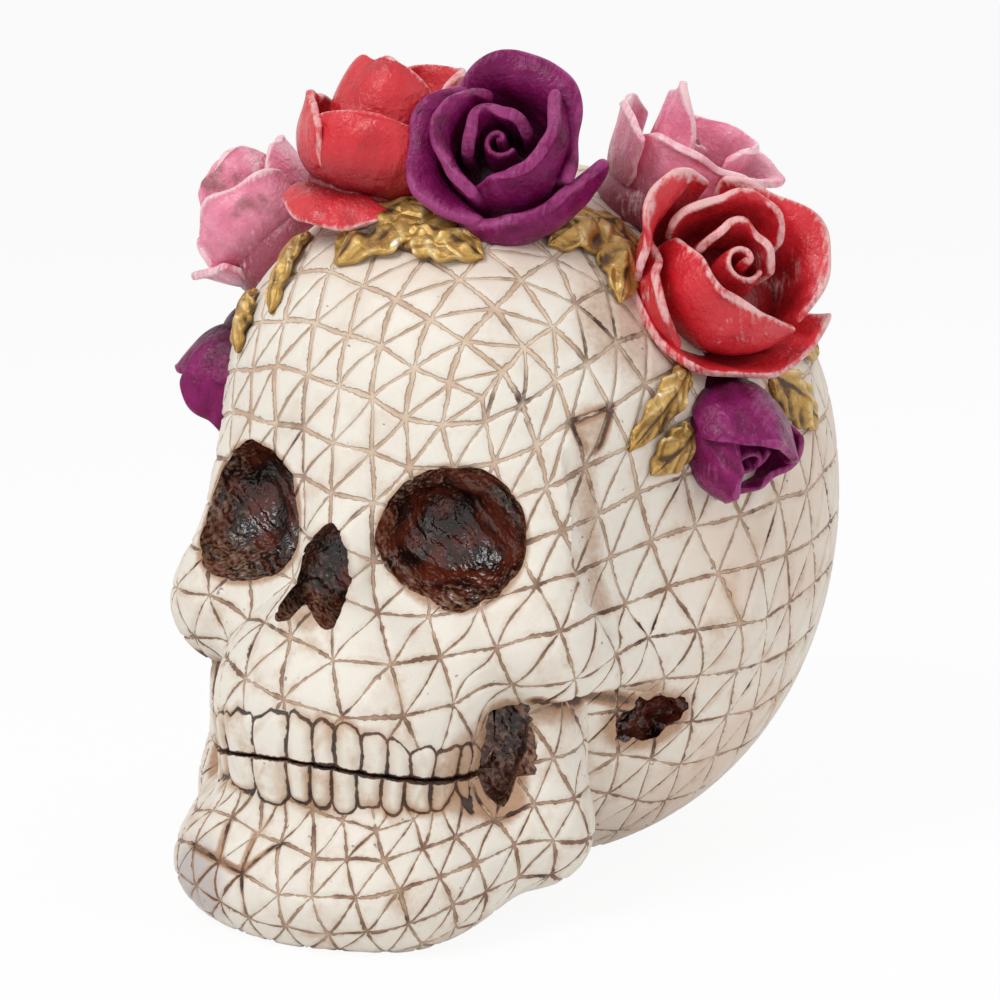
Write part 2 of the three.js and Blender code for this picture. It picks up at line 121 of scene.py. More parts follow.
@dataclass(frozen=True)
class Nodes:
    """A node tree with short ways to add the nodes that the paints have in common."""

    tree: bpy.types.NodeTree

    def place(self) -> Socket:
        """The place on the object, in metres."""
        return add_node(self.tree, "ShaderNodeTexCoord").outputs["Object"]

    def attribute(self, name: str, output: str = "Fac") -> Socket:
        """A value that the mesh holds at its points or corners."""
        return add_node(self.tree, "ShaderNodeAttribute", attribute_name=name).outputs[output]

    def split(self, vector: Socket) -> Sequence[Socket]:
        """The three numbers of a vector."""
        return add_node(self.tree, "ShaderNodeSeparateXYZ", {"Vector": vector}).outputs

    def math(self, operation: str, *values: Value, clamp: bool = False) -> Socket:
        """The result of an operation on numbers."""
        links = dict(enumerate(values))
        return add_node(self.tree, "ShaderNodeMath", links, operation=operation, use_clamp=clamp).outputs[0]

    def vector(self, operation: str, *values: Socket | Sequence[float], output: str = "Vector") -> Socket:
        """The result of an operation on vectors."""
        links = dict(enumerate(values))
        return add_node(self.tree, "ShaderNodeVectorMath", links, operation=operation).outputs[output]

    def remap(
        self,
        value: Socket,
        low: float,
        high: float,
        start: float = 0.0,
        end: float = 1.0,
        curve: str = "LINEAR",
    ) -> Socket:
        """Carries the range from low to high over to start to end, and holds the result at the ends."""
        links = {"Value": value, "From Min": low, "From Max": high, "To Min": start, "To Max": end}
        return add_node(self.tree, "ShaderNodeMapRange", links, interpolation_type=curve).outputs[0]

    def ease(self, value: Socket, low: float, high: float, start: float = 0.0, end: float = 1.0) -> Socket:
        """Works like remap, but levels off smoothly at both ends."""
        return self.remap(value, low, high, start, end, "SMOOTHSTEP")

    def noise(self, place: Socket, size: float, detail: float, **more: float) -> Socket:
        """Cloudy patches.

        Args:
            place: where they are looked up, in metres.
            size: how wide they are, in millimetres.
            detail: how many finer layers they have.
            **more: further inputs of the node, in small letters.

        Returns:
            A number round 0.5.
        """
        links = {"Vector": place, "Scale": per_mm(size), "Detail": detail}
        links |= {name.capitalize(): value for name, value in more.items()}
        return add_node(self.tree, "ShaderNodeTexNoise", links).outputs["Fac"]

    def mix(self, share: Socket, first: Colour, second: Colour) -> Socket:
        """Mixes two colours.

        Args:
            share: share of the second colour.
            first: hex text or socket.
            second: hex text or socket.

        Returns:
            The mixed colour.
        """
        ends = [linear(end) if isinstance(end, str) else end for end in (first, second)]
        links = {"Fac": share, "Color1": ends[0], "Color2": ends[1]}
        return add_node(self.tree, "ShaderNodeMixRGB", links).outputs["Color"]

    def finish(self, height: Socket, relief: float, strength: float, paint: dict[str, Value]) -> None:
        """Puts out a surface with small relief.

        Args:
            height: the relief, as a number from about 0 to 1.
            relief: millimetres between heights 0 and 1.
            strength: how much the relief turns the light.
            paint: inputs of the surface shader.
        """
        links = {"Height": height, "Distance": relief * MM, "Strength": strength}
        bump = add_node(self.tree, "ShaderNodeBump", links).outputs["Normal"]
        shader = add_node(self.tree, "ShaderNodeBsdfPrincipled", {**paint, "Normal": bump})
        add_node(self.tree, "ShaderNodeOutputMaterial", {"Surface": shader.outputs["BSDF"]})


def new_material(name: str) -> tuple[bpy.types.Material, Nodes]:
    """Makes an empty node material.

    Args:
        name: name of the material.

    Returns:
        The material and its nodes.
    """
    material = bpy.data.materials.new(name)
    material.use_nodes = True
    material.node_tree.nodes.clear()
    return material, Nodes(material.node_tree)


def new_object(name: str, bm: bmesh.types.BMesh, *materials: bpy.types.Material) -> bpy.types.Object:
    """Makes a smooth-shaded object of a bmesh in millimetres and frees the bmesh.

    Args:
        name: name of the object.
        bm: mesh in millimetres.
        *materials: its material slots, in order.

    Returns:
        The linked object, at the origin, in metres.
    """
    bmesh.ops.scale(bm, vec=(MM, MM, MM), verts=bm.verts[:])
    mesh = bpy.data.meshes.new(name)
    bm.to_mesh(mesh)
    bm.free()
    mesh.shade_smooth()
    for material in materials:
        mesh.materials.append(material)
    made = bpy.data.objects.new(name, mesh)
    bpy.context.scene.collection.objects.link(made)
    return made


def dress(obj: bpy.types.Object, slot: Slot, *nodes: str) -> None:
    """Lets a piece ride on the skull, hides the CAD nodes that it stands for and names them in the log.

    Args:
        obj: the piece.
        slot: not used.
        *nodes: the CAD nodes.
    """
    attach(obj, BODY)
    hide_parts(*nodes)
    LOG.info("%s stands for %s", obj.name, ", ".join(nodes))


def thicken(obj: bpy.types.Object, thickness: float, offset: float) -> None:
    """Gives a sheet a wall.

    Args:
        obj: the sheet.
        thickness: how thick the wall is, in millimetres.
        offset: 0 centres the wall on the sheet, -1 puts it below.
    """
    wall = obj.modifiers.new("wall", "SOLIDIFY")
    wall.thickness = thickness * MM
    wall.offset = offset


def subdivide(obj: bpy.types.Object, levels: int) -> None:
    """Adds a subdivision surface with the same levels in every view."""
    modifier = obj.modifiers.new("rounding", "SUBSURF")
    modifier.levels = modifier.render_levels = levels


def smoothstep(low: float, high: float, values: np.ndarray) -> np.ndarray:
    """Rises smoothly from 0 at low to 1 at high."""
    share = np.clip((values - low) / (high - low), 0.0, 1.0)
    return share * share * (3.0 - 2.0 * share)


def ripple(points: np.ndarray, size: float, seed: int) -> np.ndarray:
    """Smooth wavering of hand work, from a few crossing waves.

    Args:
        points: places, one per row.
        size: length of the waves.
        seed: picks the waves.

    Returns:
        Three numbers from about -1 to 1 for each place.
    """
    draw = np.random.default_rng(seed)
    total = np.zeros_like(points)
    waves = 5
    for _ in range(waves):
        turn = draw.normal(size=(3, 3)) * (2.0 * math.pi / size / math.sqrt(3.0))
        total += np.sin(points @ turn + draw.uniform(0.0, 2.0 * math.pi, 3))
    return total / math.sqrt(waves)


def bearing(towards: Bearing) -> Vector:
    """Turns an angle round from straight ahead and an angle up into a direction."""
    turn, rise = (math.radians(angle) for angle in towards)
    return Vector((math.sin(turn) * math.cos(rise), -math.cos(turn) * math.cos(rise), math.sin(rise)))


def rows_along(bm: bmesh.types.BMesh, axis: int) -> list[bmesh.types.BMEdge]:
    """Edges of a divided cube that run along an axis."""
    return [e for e in bm.edges if abs((e.verts[0].co - e.verts[1].co)[axis]) > FLAT]


def coordinates(bm: bmesh.types.BMesh) -> np.ndarray:
    """Places of a mesh's points, one per row."""
    return np.array([v.co for v in bm.verts])


def move_points(bm: bmesh.types.BMesh, places: np.ndarray) -> None:
    """Puts the points of a mesh at new places."""
    for vertex, place in zip(bm.verts, places):
        vertex.co = place


@dataclass(frozen=True)
class Ellipsoid:
    """A round bone mass that melts into the ones before it over its blend width."""

    at: Point
    radii: Point
    blend: float = 1.0

    def depth(self, points: np.ndarray) -> np.ndarray:
        """Distance of each point outside the mass, about in millimetres.

        Args:
            points: places, one per row.

        Returns:
            One distance per place, negative inside.
        """
        offset = (points - np.array(self.at)) / np.array(self.radii)
        near = np.linalg.norm(offset, axis=1)
        slope = np.linalg.norm(offset / np.array(self.radii), axis=1)
        return near * (near - 1.0) / np.maximum(slope, TINY)


@dataclass(frozen=True)
class Capsule:
    """A rod-shaped bone mass between two ends."""

    start: Point
    end: Point
    radius: float
    blend: float = 1.0

    def depth(self, points: np.ndarray) -> np.ndarray:
        """Distance of each point outside the mass, in millimetres.

        Args:
            points: places, one per row.

        Returns:
            One distance per place, negative inside.
        """
        along = np.subtract(self.end, self.start)
        offset = points - np.array(self.start)
        share = np.clip(offset @ along / (along @ along), 0.0, 1.0)
        return np.linalg.norm(offset - share[:, None] * along, axis=1) - self.radius


Mass = Ellipsoid | Capsule


def smooth_union(a: np.ndarray, b: np.ndarray, width: float) -> np.ndarray:
    """Joins two depths with a fillet of about the given width."""
    overlap = np.maximum(width - np.abs(a - b), 0.0) / width
    return np.minimum(a, b) - overlap * overlap * width / 4.0


@dataclass(frozen=True)
class BoneField:
    """The smooth surface of a bone, alike on both sides, as masses joined one after the other."""

    core: Point
    masses: tuple[Mass, ...]
    hollow: Ellipsoid | None = None

    REACH = 160.0
    HALVINGS = 26
    STEP = 0.05

    def depth(self, points: np.ndarray) -> np.ndarray:
        """Distance of each point outside the bone, about in millimetres.

        Args:
            points: places, one per row.

        Returns:
            One distance per place, negative inside.
        """
        mirrored = points.copy()
        mirrored[:, 0] = np.abs(mirrored[:, 0])
        total = self.masses[0].depth(mirrored)
        for mass in self.masses[1:]:
            total = smooth_union(total, mass.depth(mirrored), mass.blend)
        if self.hollow:
            total = -smooth_union(-total, self.hollow.depth(mirrored), self.hollow.blend)
        return total

    def normal(self, points: np.ndarray) -> np.ndarray:
        """Outward direction of the surface at each point.

        Args:
            points: places, one per row.

        Returns:
            One unit direction per place.
        """
        steps = np.eye(3) * self.STEP
        slope = np.stack([self.depth(points + s) - self.depth(points - s) for s in steps], axis=1)
        return slope / np.maximum(np.linalg.norm(slope, axis=1, keepdims=True), TINY)

    def settle(self, points: np.ndarray, rounds: int) -> np.ndarray:
        """Draws points onto the surface along its outward direction.

        Args:
            points: places, one per row.
            rounds: how often they are drawn nearer.

        Returns:
            The drawn places.
        """
        for _ in range(rounds):
            points = points - self.normal(points) * self.depth(points)[:, None]
        return points

    def shoot(self, starts: np.ndarray, directions: np.ndarray) -> np.ndarray:
        """Finds where rays leave the bone for good.

        Args:
            starts: where each ray starts, inside the bone.
            directions: unit direction of each ray.

        Returns:
            The last surface point on each ray.
        """
        far = np.full(len(directions), self.REACH)
        open_air = np.ones(len(directions), bool)
        for reach in np.arange(self.REACH, 0.0, -1.0):
            outside = self.depth(starts + directions * reach) > 0.0
            open_air &= outside
            far[open_air] = reach
        near = far - 1.0
        for _ in range(self.HALVINGS):
            middle = (near + far) / 2.0
            outside = self.depth(starts + directions * middle[:, None]) > 0.0
            far = np.where(outside, middle, far)
            near = np.where(outside, near, middle)
        return starts + directions * near[:, None]

    def at(self, towards: Vector) -> Vector:
        """The surface point that lies in one direction from the core."""
        start = np.array([self.core])
        return Vector(self.shoot(start, np.array([towards[:]]))[0])


CRANIUM = BoneField(
    core=(0.0, 0.0, 62.0),
    masses=(
        Ellipsoid((0, 20, 66), (55, 60, 56)),
        Ellipsoid((0, 18, 45), (51, 60, 50), blend=12),
        Ellipsoid((0, -12, 84), (38, 32, 35), blend=14),
        Ellipsoid((0, -25, 63), (38, 18, 18), blend=10),
        Ellipsoid((28, -34, 50), (11, 12, 11), blend=10),
        Capsule((33, -32, 47), (45, 0, 47), 7.5, blend=8),
        Ellipsoid((0, -42, 35), (25, 21.5, 22), blend=6),
        Capsule((0, -40, 76), (0, -51, 55), 5, blend=7),
    ),
    hollow=Ellipsoid((62, -25, 66), (18, 20, 20), blend=14),
)

JAW = BoneField(
    core=(0.0, -40.0, 18.0),
    masses=(
        Ellipsoid((0, -50, 9), (28, 20, 13)),
        Capsule((15, -53, 11), (29, -31, 15), 9, blend=8),
        Ellipsoid((27.8, -29.5, 30), (8.2, 10, 23), blend=6),
        Ellipsoid((0, -42, 31), (24.5, 21, 24), blend=6),
    ),
)


@dataclass(frozen=True)
class Bite:
    """The mouth line and the tooth rows on either side of it, laid out round the dental arch."""

    middle: float = -42.0
    front: float = 31.0
    fall: float = 4.0
    radius: float = 23.0
    upper: float = 7.6
    lower: float = 7.6
    upper_loss: float = 1.9
    lower_loss: float = 3.4
    lower_shift: float = 1.5
    round_end: float = 1.9
    edges: tuple[float, ...] = (
        (-84, -76, -65, -54, -43, -20, 0, 11.8, 22, 33.3, 43.8, 53.7, 64.6, 76.4, 84)
    )

    FAR = 9.0

    def angle(self, points: np.ndarray) -> np.ndarray:
        """Angle of each point round the arch, in degrees, with 0 at the front teeth."""
        return np.degrees(np.arctan2(points[:, 0], self.middle - points[:, 1]))

    def back(self, angle: np.ndarray) -> np.ndarray:
        """How far back on the arch an angle lies, from 0 in front to 1 at the ends."""
        return np.sin(np.radians(np.clip(angle, -90.0, 90.0))) ** 2

    def line(self, angle: np.ndarray) -> np.ndarray:
        """Height of the mouth line."""
        return self.front - self.fall * self.back(angle)

    def layout(self, points: np.ndarray) -> np.ndarray:
        """Places points in the tooth rows.

        Args:
            points: places on the bone.

        Returns:
            For each point the teeth counted along the row, the millimetres above the mouth line,
            how tall the tooth is there and half its width.
        """
        angle = self.angle(points)
        rise = points[:, 2] - self.line(angle)
        back = self.back(angle)
        tall = np.where(rise > 0.0, self.upper - self.upper_loss * back, self.lower - self.lower_loss * back)
        edges = np.array(self.edges, float)
        shifted = angle + np.where(rise < 0.0, self.lower_shift, 0.0)
        beyond = np.maximum(edges[0] - shifted, 0.0) + np.maximum(shifted - edges[-1], 0.0)
        count = np.interp(shifted, edges, np.arange(len(edges))) + np.where(shifted < 0.0, -beyond, beyond)
        widths = np.radians(np.diff(edges)) * self.radius / 2.0
        half = np.interp(shifted, (edges[1:] + edges[:-1]) / 2.0, widths)
        return np.stack([count, rise, tall, half], axis=1)

    def outline(self, layout: np.ndarray) -> np.ndarray:
        """Distance outside the outline of the nearest tooth.

        Args:
            layout: rows as the layout method gives them.

        Returns:
            Millimetres, negative on a tooth.
        """
        count, rise, tall, half = layout.T
        aside = np.abs(count % 1.0 - 0.5) * 2.0 * half - (half - self.round_end)
        above = np.abs(rise) - (tall - self.round_end)
        outer = np.hypot(np.maximum(aside, 0.0), np.maximum(above, 0.0))
        edge = outer + np.minimum(np.maximum(aside, above), 0.0) - self.round_end
        return np.where((count > 0.0) & (count < len(self.edges) - 1), edge, self.FAR)


BITE = Bite()
RIGHT_EYE = Ellipsoid((20, -46, 66.3), (12.4, 14, 11.9))
LEFT_EYE = Ellipsoid((-21.5, -45.5, 66.8), (13.6, 14, 12.0))
RIGHT_EAR = Ellipsoid((43.8, -16.5, 31), (7.5, 8.5, 4.6))
LEFT_EAR = Ellipsoid((-43.8, -16.5, 31), (7.5, 8.5, 4.6))
SLOT_RECESS = Capsule((29, -42, 35), (28, -43, 24), 4.0)
# Painted shadow under the cheek's overhanging lower edge, over brown paint; the two crease marks below
# deepen it to a dark line.
CHEEK_SHADE = Capsule((33, -39, 37.5), (44, -18, 37), 0.8)
CREASE_SHADE_FRONT = Capsule((33.2, -39.5, 39.3), (36.0, -29.5, 38.5), 0.6)
CREASE_SHADE_BACK = Capsule((36.0, -29.5, 38.5), (39.6, -15.0, 35.2), 0.6)
NOSE_HOLE = Ellipsoid((-1, -54, 59.5), (5.5, 8, 8.5))


@dataclass(frozen=True)
class StainAndShade:
    """Brown antiquing on the bone round a hollow or in a patch, and painted shadow under the cheek's ledge
    and along the step behind the eye.

    It fades over its reach and lies on both sides of the skull or only on the right.
    """

    source: Mass
    reach: float
    strength: float
    both: bool = True

    def share(self, points: np.ndarray) -> np.ndarray:
        """Share of wash at each point.

        Args:
            points: places, one per row.

        Returns:
            One share per place.
        """
        side = points.copy()
        if self.both:
            side[:, 0] = np.abs(side[:, 0])
        return self.strength * (1.0 - smoothstep(0.0, self.reach, self.source.depth(side)))


@dataclass(frozen=True)
class Opening:
    """A hand-cut opening: its outline as angles from upright and reaches, seen from where it faces."""

    name: str
    middle: Point
    facing: float
    depth: float
    outline: tuple[Bearing, ...]


NOSE = Opening(
    "nose",
    middle=(-1.0, -52.0, 61.0),
    facing=0.0,
    depth=6.5,
    outline=(
        *((-180, 5.6), (-165, 8.0), (-155, 10.2), (-143, 12.0), (-133, 11.2), (-112, 6.6)),
        *((-75, 4.6), (-28, 4.2), (0, 6.3), (11, 7.8), (20, 7.0), (45, 5.7)),
        *((93, 5.4), (129, 7.8), (143, 10.2), (154, 11.0), (163, 8.6), (172, 4.2)),
    ),
)
SLOT_CUT = Opening(
    "slot",
    middle=(29.0, -42.5, 30.0),
    facing=36.87,
    depth=6.5,
    outline=(
        *((-180, 8.9), (-150, 6.6), (-118, 4.3), (-80, 3.4), (-44, 4.0), (-13, 7.6)),
        *((10, 7.2), (34, 6.8), (60, 4.4), (97, 3.3), (130, 3.4), (163, 4.8)),
    ),
)

TEMPLE_STROKES = (
    ((34.2, -29.9, 84.5), (38.4, -23.6, 86.5), 2.3),
    ((38.4, -23.6, 86.5), (36.9, -27.4, 76.8), 2.3),
    ((36.9, -27.4, 76.8), (34.2, -29.9, 84.5), 1.4),
)
CHIN_STROKES = (
    ((-12.3, -62.1, 19.1), (-11.3, -67.2, 13.5), 1.5),
    ((-11.3, -67.2, 13.5), (-5.6, -68.8, 12.6), 1.9),
    ((-5.6, -68.8, 12.6), (-6.0, -64.0, 18.1), 1.5),
    ((-18.5, -64.4, 14.1), (-11.3, -67.2, 13.5), 1.9),
    ((-5.6, -68.8, 12.6), (-0.3, -65.0, 17.7), 1.5),
    ((-5.6, -68.8, 12.6), (-4.7, -68.6, 4.7), 1.3),
)

STAINS_AND_SHADE = (
    StainAndShade(RIGHT_EYE, 1.5, 1.1, both=False),
    StainAndShade(LEFT_EYE, 1.5, 1.1, both=False),
    StainAndShade(NOSE_HOLE, 2.2, 0.8),
    StainAndShade(SLOT_RECESS, 2.4, 1.1),
    StainAndShade(RIGHT_EAR, 4.0, 1.1),
    # The cheek and crease marks are painted shadow under the cheek's ledge, on real brown paint.
    StainAndShade(CHEEK_SHADE, 4.0, 1.0),
    StainAndShade(CREASE_SHADE_FRONT, 2.0, 2.3),
    StainAndShade(CREASE_SHADE_BACK, 2.0, 1.7),
    StainAndShade(Ellipsoid((24, -45, 28), (5, 5, 6)), 5.0, 0.9),
    # Painted shadow and soil along the step behind the eye socket.
    StainAndShade(Capsule((37.0, -28.5, 76.0), (39.5, -28.3, 55.0), 1.2), 3.4, 0.85),
    StainAndShade(Ellipsoid((36, -16, 100), (5, 5, 8)), 9.0, 0.6, both=False),
    StainAndShade(Ellipsoid((36, -27, 83), (2, 2, 3)), 3.5, 0.7, both=False),
    *(StainAndShade(Capsule(a, b, 0.1), 1.2, dark, both=False) for a, b, dark in TEMPLE_STROKES + CHIN_STROKES),
)


@dataclass(frozen=True)
class BoneMarks:
    """What the layers of the bone paint share: noises, distances in millimetres and shares."""

    place: Socket
    stain_and_shade: Socket
    ragged: Socket
    patch: Socket
    press: Socket
    pressed: Socket
    shift: Socket
    tone: Socket
    low_face: Socket
    line: Socket
    tooth: Socket


@dataclass(frozen=True)
class CastBone:
    """Cream matt paint on cast resin, its carved lines rubbed with brown antiquing.

    The eye gets a dull chalky cream with warm staining and painted shade, and tan lines with ragged, darker
    edges.
    """

    cream: str = "#ece6da"
    # Painted shade for the back and sides of the skull and the band just under the garland.
    shade: str = "#dec6b4"
    smoke: str = "#b3a9ab"
    wash_and_shade: str = "#b0896a"
    line: str = "#dfcab3"
    line_low: str = "#c9ab91"
    line_edge: str = "#b0907a"
    edge_low: str = "#8f6a53"
    soil: str = "#c6a587"
    line_dark: str = "#3f2014"
    halo: str = "#b58d69"
    gap: str = "#26120c"
    ink: str = "#6b4029"
    line_width: float = 0.75
    tooth_line: float = 0.6
    mouth_line: float = 1.0
    smoke_at: Point = (-16.5, -66.5, 9.0)
    smoke_core: float = 4.0
    smoke_reach: float = 10.0
    roughness: float = 0.55
    ragged_edge: float = 0.35

    CLOUD_SIZE = 22.0
    PATCH_SIZE = 13.0
    GRIME_SIZE = 9.0
    TONE_SIZE = 8.0
    PRESS_SIZE = 4.0
    FLECK_SIZE = 1.6
    RAGGED_SIZE = 0.9
    GRAIN_SIZE = 0.35
    LOW_FACE = (50.0 * MM, 85.0 * MM)
    # Where the painted shade of the back and of the band under the garland fades in.
    BEHIND = (-30.0 * MM, 10.0 * MM)
    CROWN = (100.0 * MM, 112.0 * MM)
    GRIME_REACH = 3.0
    BLEED_REACH = 1.1
    HALO = (0.2, 1.8)

    def net_distance(self, nodes: Nodes) -> Socket:
        """Distance from the nearest carved line, in millimetres."""
        first, second, third = nodes.split(nodes.attribute("groove", "Vector"))
        return nodes.math("MINIMUM", nodes.math("MINIMUM", first, second), third)

    def tooth_distance(self, nodes: Nodes) -> Socket:
        """Distance outside the nearest tooth outline, worked out as in Bite.outline.

        Args:
            nodes: nodes of the bone paint.

        Returns:
            Millimetres, negative on a tooth.
        """
        count, rise, tall = nodes.split(nodes.attribute("arch", "Vector"))
        middle = nodes.math("SUBTRACT", nodes.math("FRACT", count), 0.5)
        inset = nodes.math("MULTIPLY_ADD", nodes.math("ABSOLUTE", middle), 2.0, -1.0)
        aside = nodes.math("MULTIPLY_ADD", inset, nodes.attribute("tooth_half"), BITE.round_end)
        over = nodes.math("SUBTRACT", nodes.math("ABSOLUTE", rise), tall)
        above = nodes.math("ADD", over, BITE.round_end)
        sides = {0: nodes.math("MAXIMUM", aside, 0.0), 1: nodes.math("MAXIMUM", above, 0.0)}
        corner = add_node(nodes.tree, "ShaderNodeCombineXYZ", sides).outputs[0]
        outer = nodes.vector("LENGTH", corner, output="Value")
        inner = nodes.math("MINIMUM", nodes.math("MAXIMUM", aside, above), 0.0)
        edge = nodes.math("ADD", outer, inner)
        away = nodes.math("MULTIPLY_ADD", self.past_teeth(nodes, count), BITE.FAR, -BITE.round_end)
        return nodes.math("ADD", edge, away)

    def past_teeth(self, nodes: Nodes, count: Socket) -> Socket:
        """Tells what lies beyond either end of the tooth rows.

        Args:
            nodes: nodes of the bone paint.
            count: teeth counted along the row.

        Returns:
            1 beyond the rows and 0 in them.
        """
        middle = (len(BITE.edges) - 1) / 2.0
        far = nodes.math("ABSOLUTE", nodes.math("SUBTRACT", count, middle))
        return nodes.math("GREATER_THAN", far, middle)

    def marks(self, nodes: Nodes) -> BoneMarks:
        """Adds what the layers share.

        Args:
            nodes: nodes of the bone paint.

        Returns:
            The shared sockets.
        """
        place = nodes.place()
        ragged = nodes.noise(place, self.RAGGED_SIZE, 4.0)
        press = nodes.noise(place, self.PRESS_SIZE, 4.0)
        shift = nodes.math("MULTIPLY_ADD", ragged, -2.0 * self.ragged_edge, self.ragged_edge)
        low_face = nodes.remap(nodes.split(place)[2], *self.LOW_FACE, 1.0, 0.0)
        pressed = nodes.remap(press, 0.35, 0.62, 0.6, 1.2)
        fuller = nodes.math("MULTIPLY_ADD", low_face, -0.3, pressed)
        off_line = nodes.math("ADD", self.net_distance(nodes), shift)
        return BoneMarks(
            place=place,
            stain_and_shade=nodes.attribute("stain_and_shade"),
            ragged=ragged,
            patch=nodes.noise(place, self.PATCH_SIZE, 3.0),
            press=press,
            pressed=pressed,
            shift=shift,
            tone=nodes.remap(nodes.noise(place, self.TONE_SIZE, 5.0, roughness=0.65), 0.42, 0.62),
            low_face=low_face,
            line=nodes.math("DIVIDE", off_line, fuller),
            tooth=self.tooth_distance(nodes),
        )

    def bare(self, nodes: Nodes, place: Socket) -> Socket:
        """Uncarved paint: cream in front, painted shade towards the back and just under the garland, smoky
        at one side of the chin.

        Args:
            nodes: nodes of the bone paint.
            place: place on the skull.

        Returns:
            Its colour.
        """
        _, depth, height = nodes.split(place)
        behind = nodes.ease(depth, *self.BEHIND, 0.1, 0.8)
        crown = nodes.ease(height, *self.CROWN, 0.0, 0.9)
        patchy = nodes.remap(nodes.noise(place, self.CLOUD_SIZE, 6.0), 0.36, 0.62, 0.15, 1.0)
        # warm is the share of painted shade, broken up in patches.
        warm = nodes.math("MULTIPLY", nodes.math("MAXIMUM", behind, crown), patchy)
        shaded = nodes.mix(warm, self.cream, self.shade)
        spot = [value * MM for value in self.smoke_at]
        far = nodes.vector("DISTANCE", place, spot, output="Value")
        smoky = nodes.ease(far, self.smoke_core * MM, self.smoke_reach * MM, 0.75, 0.0)
        return nodes.mix(smoky, shaded, self.smoke)

    def line_paint(self, nodes: Nodes, marks: BoneMarks) -> Socket:
        """Antiquing in the carved lines: tan with darker edges, browner low on the face, darker where the
        bone is stained and in painted shadow.

        Args:
            nodes: nodes of the bone paint.
            marks: its shared sockets.

        Returns:
            Its colour.
        """
        half = self.line_width / 2.0
        light_core = nodes.mix(marks.low_face, self.line, self.line_low)
        brown_core = nodes.mix(marks.low_face, self.line_low, self.edge_low)
        core = nodes.mix(marks.tone, light_core, brown_core)
        brink = nodes.mix(marks.low_face, self.line_edge, self.edge_low)
        two_tone = nodes.mix(nodes.ease(marks.line, half * 0.45, half * 0.95), core, brink)
        lower = nodes.math("MULTIPLY", nodes.math("MULTIPLY", marks.low_face, marks.tone), 0.3)
        rubbed = nodes.math("ADD", nodes.ease(marks.patch, 0.55, 0.72), lower)
        # Stained places and painted shadow darken the lines.
        darker = nodes.math("MULTIPLY_ADD", marks.stain_and_shade, 0.8, rubbed, clamp=True)
        dark_share = nodes.math("MULTIPLY", darker, nodes.remap(marks.press, 0.38, 0.58))
        return nodes.mix(dark_share, two_tone, self.line_dark)

    def ground(self, nodes: Nodes, marks: BoneMarks) -> Socket:
        """Paint between the lines: soil gathered along them, brown antiquing round the hollows, painted
        shadow under the cheek's ledge, a few flecks.

        Args:
            nodes: nodes of the bone paint.
            marks: its shared sockets.

        Returns:
            Its colour.
        """
        half = self.line_width / 2.0
        grime = nodes.noise(marks.place, self.GRIME_SIZE, 7.0, roughness=0.65)
        near_line = nodes.remap(marks.line, half, self.GRIME_REACH, 1.0, 0.25)
        gathered = nodes.math("MULTIPLY", nodes.ease(grime, 0.47, 0.68, 0.0, 0.8), near_line)
        bleed = nodes.remap(marks.line, half, half + self.BLEED_REACH, 0.5, 0.0)
        most = nodes.math("MAXIMUM", gathered, nodes.math("MULTIPLY", bleed, marks.tone))
        soil_share = nodes.math("MULTIPLY", most, nodes.remap(marks.low_face, 0.0, 1.0, 0.45, 1.0))
        soiled = nodes.mix(soil_share, self.bare(nodes, marks.place), self.soil)
        patchy_stain_and_shade = nodes.math("MULTIPLY_ADD", marks.patch, 0.6, marks.stain_and_shade)
        stain_and_shade = nodes.math("MULTIPLY_ADD", marks.ragged, 0.5, patchy_stain_and_shade)
        # Brown antiquing, and painted shadow under the cheek's ledge.
        washed_and_shaded = nodes.mix(nodes.ease(stain_and_shade, 0.65, 1.75), soiled, self.wash_and_shade)
        # Darkest where the marks are strongest, which is mostly the painted shadow in the crease under the
        # cheek.
        deep = nodes.mix(nodes.ease(stain_and_shade, 1.75, 2.5, 0.0, 0.9), washed_and_shaded, self.line_dark)
        speck = nodes.remap(nodes.noise(marks.place, self.FLECK_SIZE, 1.0), 0.76, 0.8, 0.0, 0.6)
        return nodes.mix(speck, deep, self.line_dark)

    def teeth(self, nodes: Nodes, marks: BoneMarks, colour: Socket) -> tuple[Socket, Socket]:
        """Paints the gaps between the teeth and the mouth line over a colour.

        Args:
            nodes: nodes of the bone paint.
            marks: its shared sockets.
            colour: the paint below.

        Returns:
            The new colour, and the share of each place that lies in a gap.
        """
        beside = nodes.math("ABSOLUTE", nodes.math("ADD", marks.tooth, marks.shift))
        smear = nodes.remap(marks.patch, 0.38, 0.6)
        halo_share = nodes.math("MULTIPLY", nodes.remap(beside, *self.HALO, 0.9, 0.0), smear)
        haloed = nodes.mix(halo_share, colour, self.halo)
        from_line = nodes.math("DIVIDE", beside, marks.pressed)
        in_gap = nodes.ease(from_line, self.tooth_line * 0.35, self.tooth_line * 0.65, 0.95, 0.0)
        count, rise, _ = nodes.split(nodes.attribute("arch", "Vector"))
        apart = nodes.math("ADD", nodes.math("ABSOLUTE", rise), marks.shift)
        at_mouth = nodes.ease(apart, self.mouth_line * 0.4, self.mouth_line * 0.65, 1.0, 0.0)
        mouth = nodes.math("SUBTRACT", at_mouth, self.past_teeth(nodes, count))
        ink = nodes.mix(nodes.remap(marks.pressed, 0.6, 1.1, 1.0, 0.0), self.gap, self.ink)
        return nodes.mix(nodes.math("MAXIMUM", in_gap, mouth), haloed, ink), in_gap

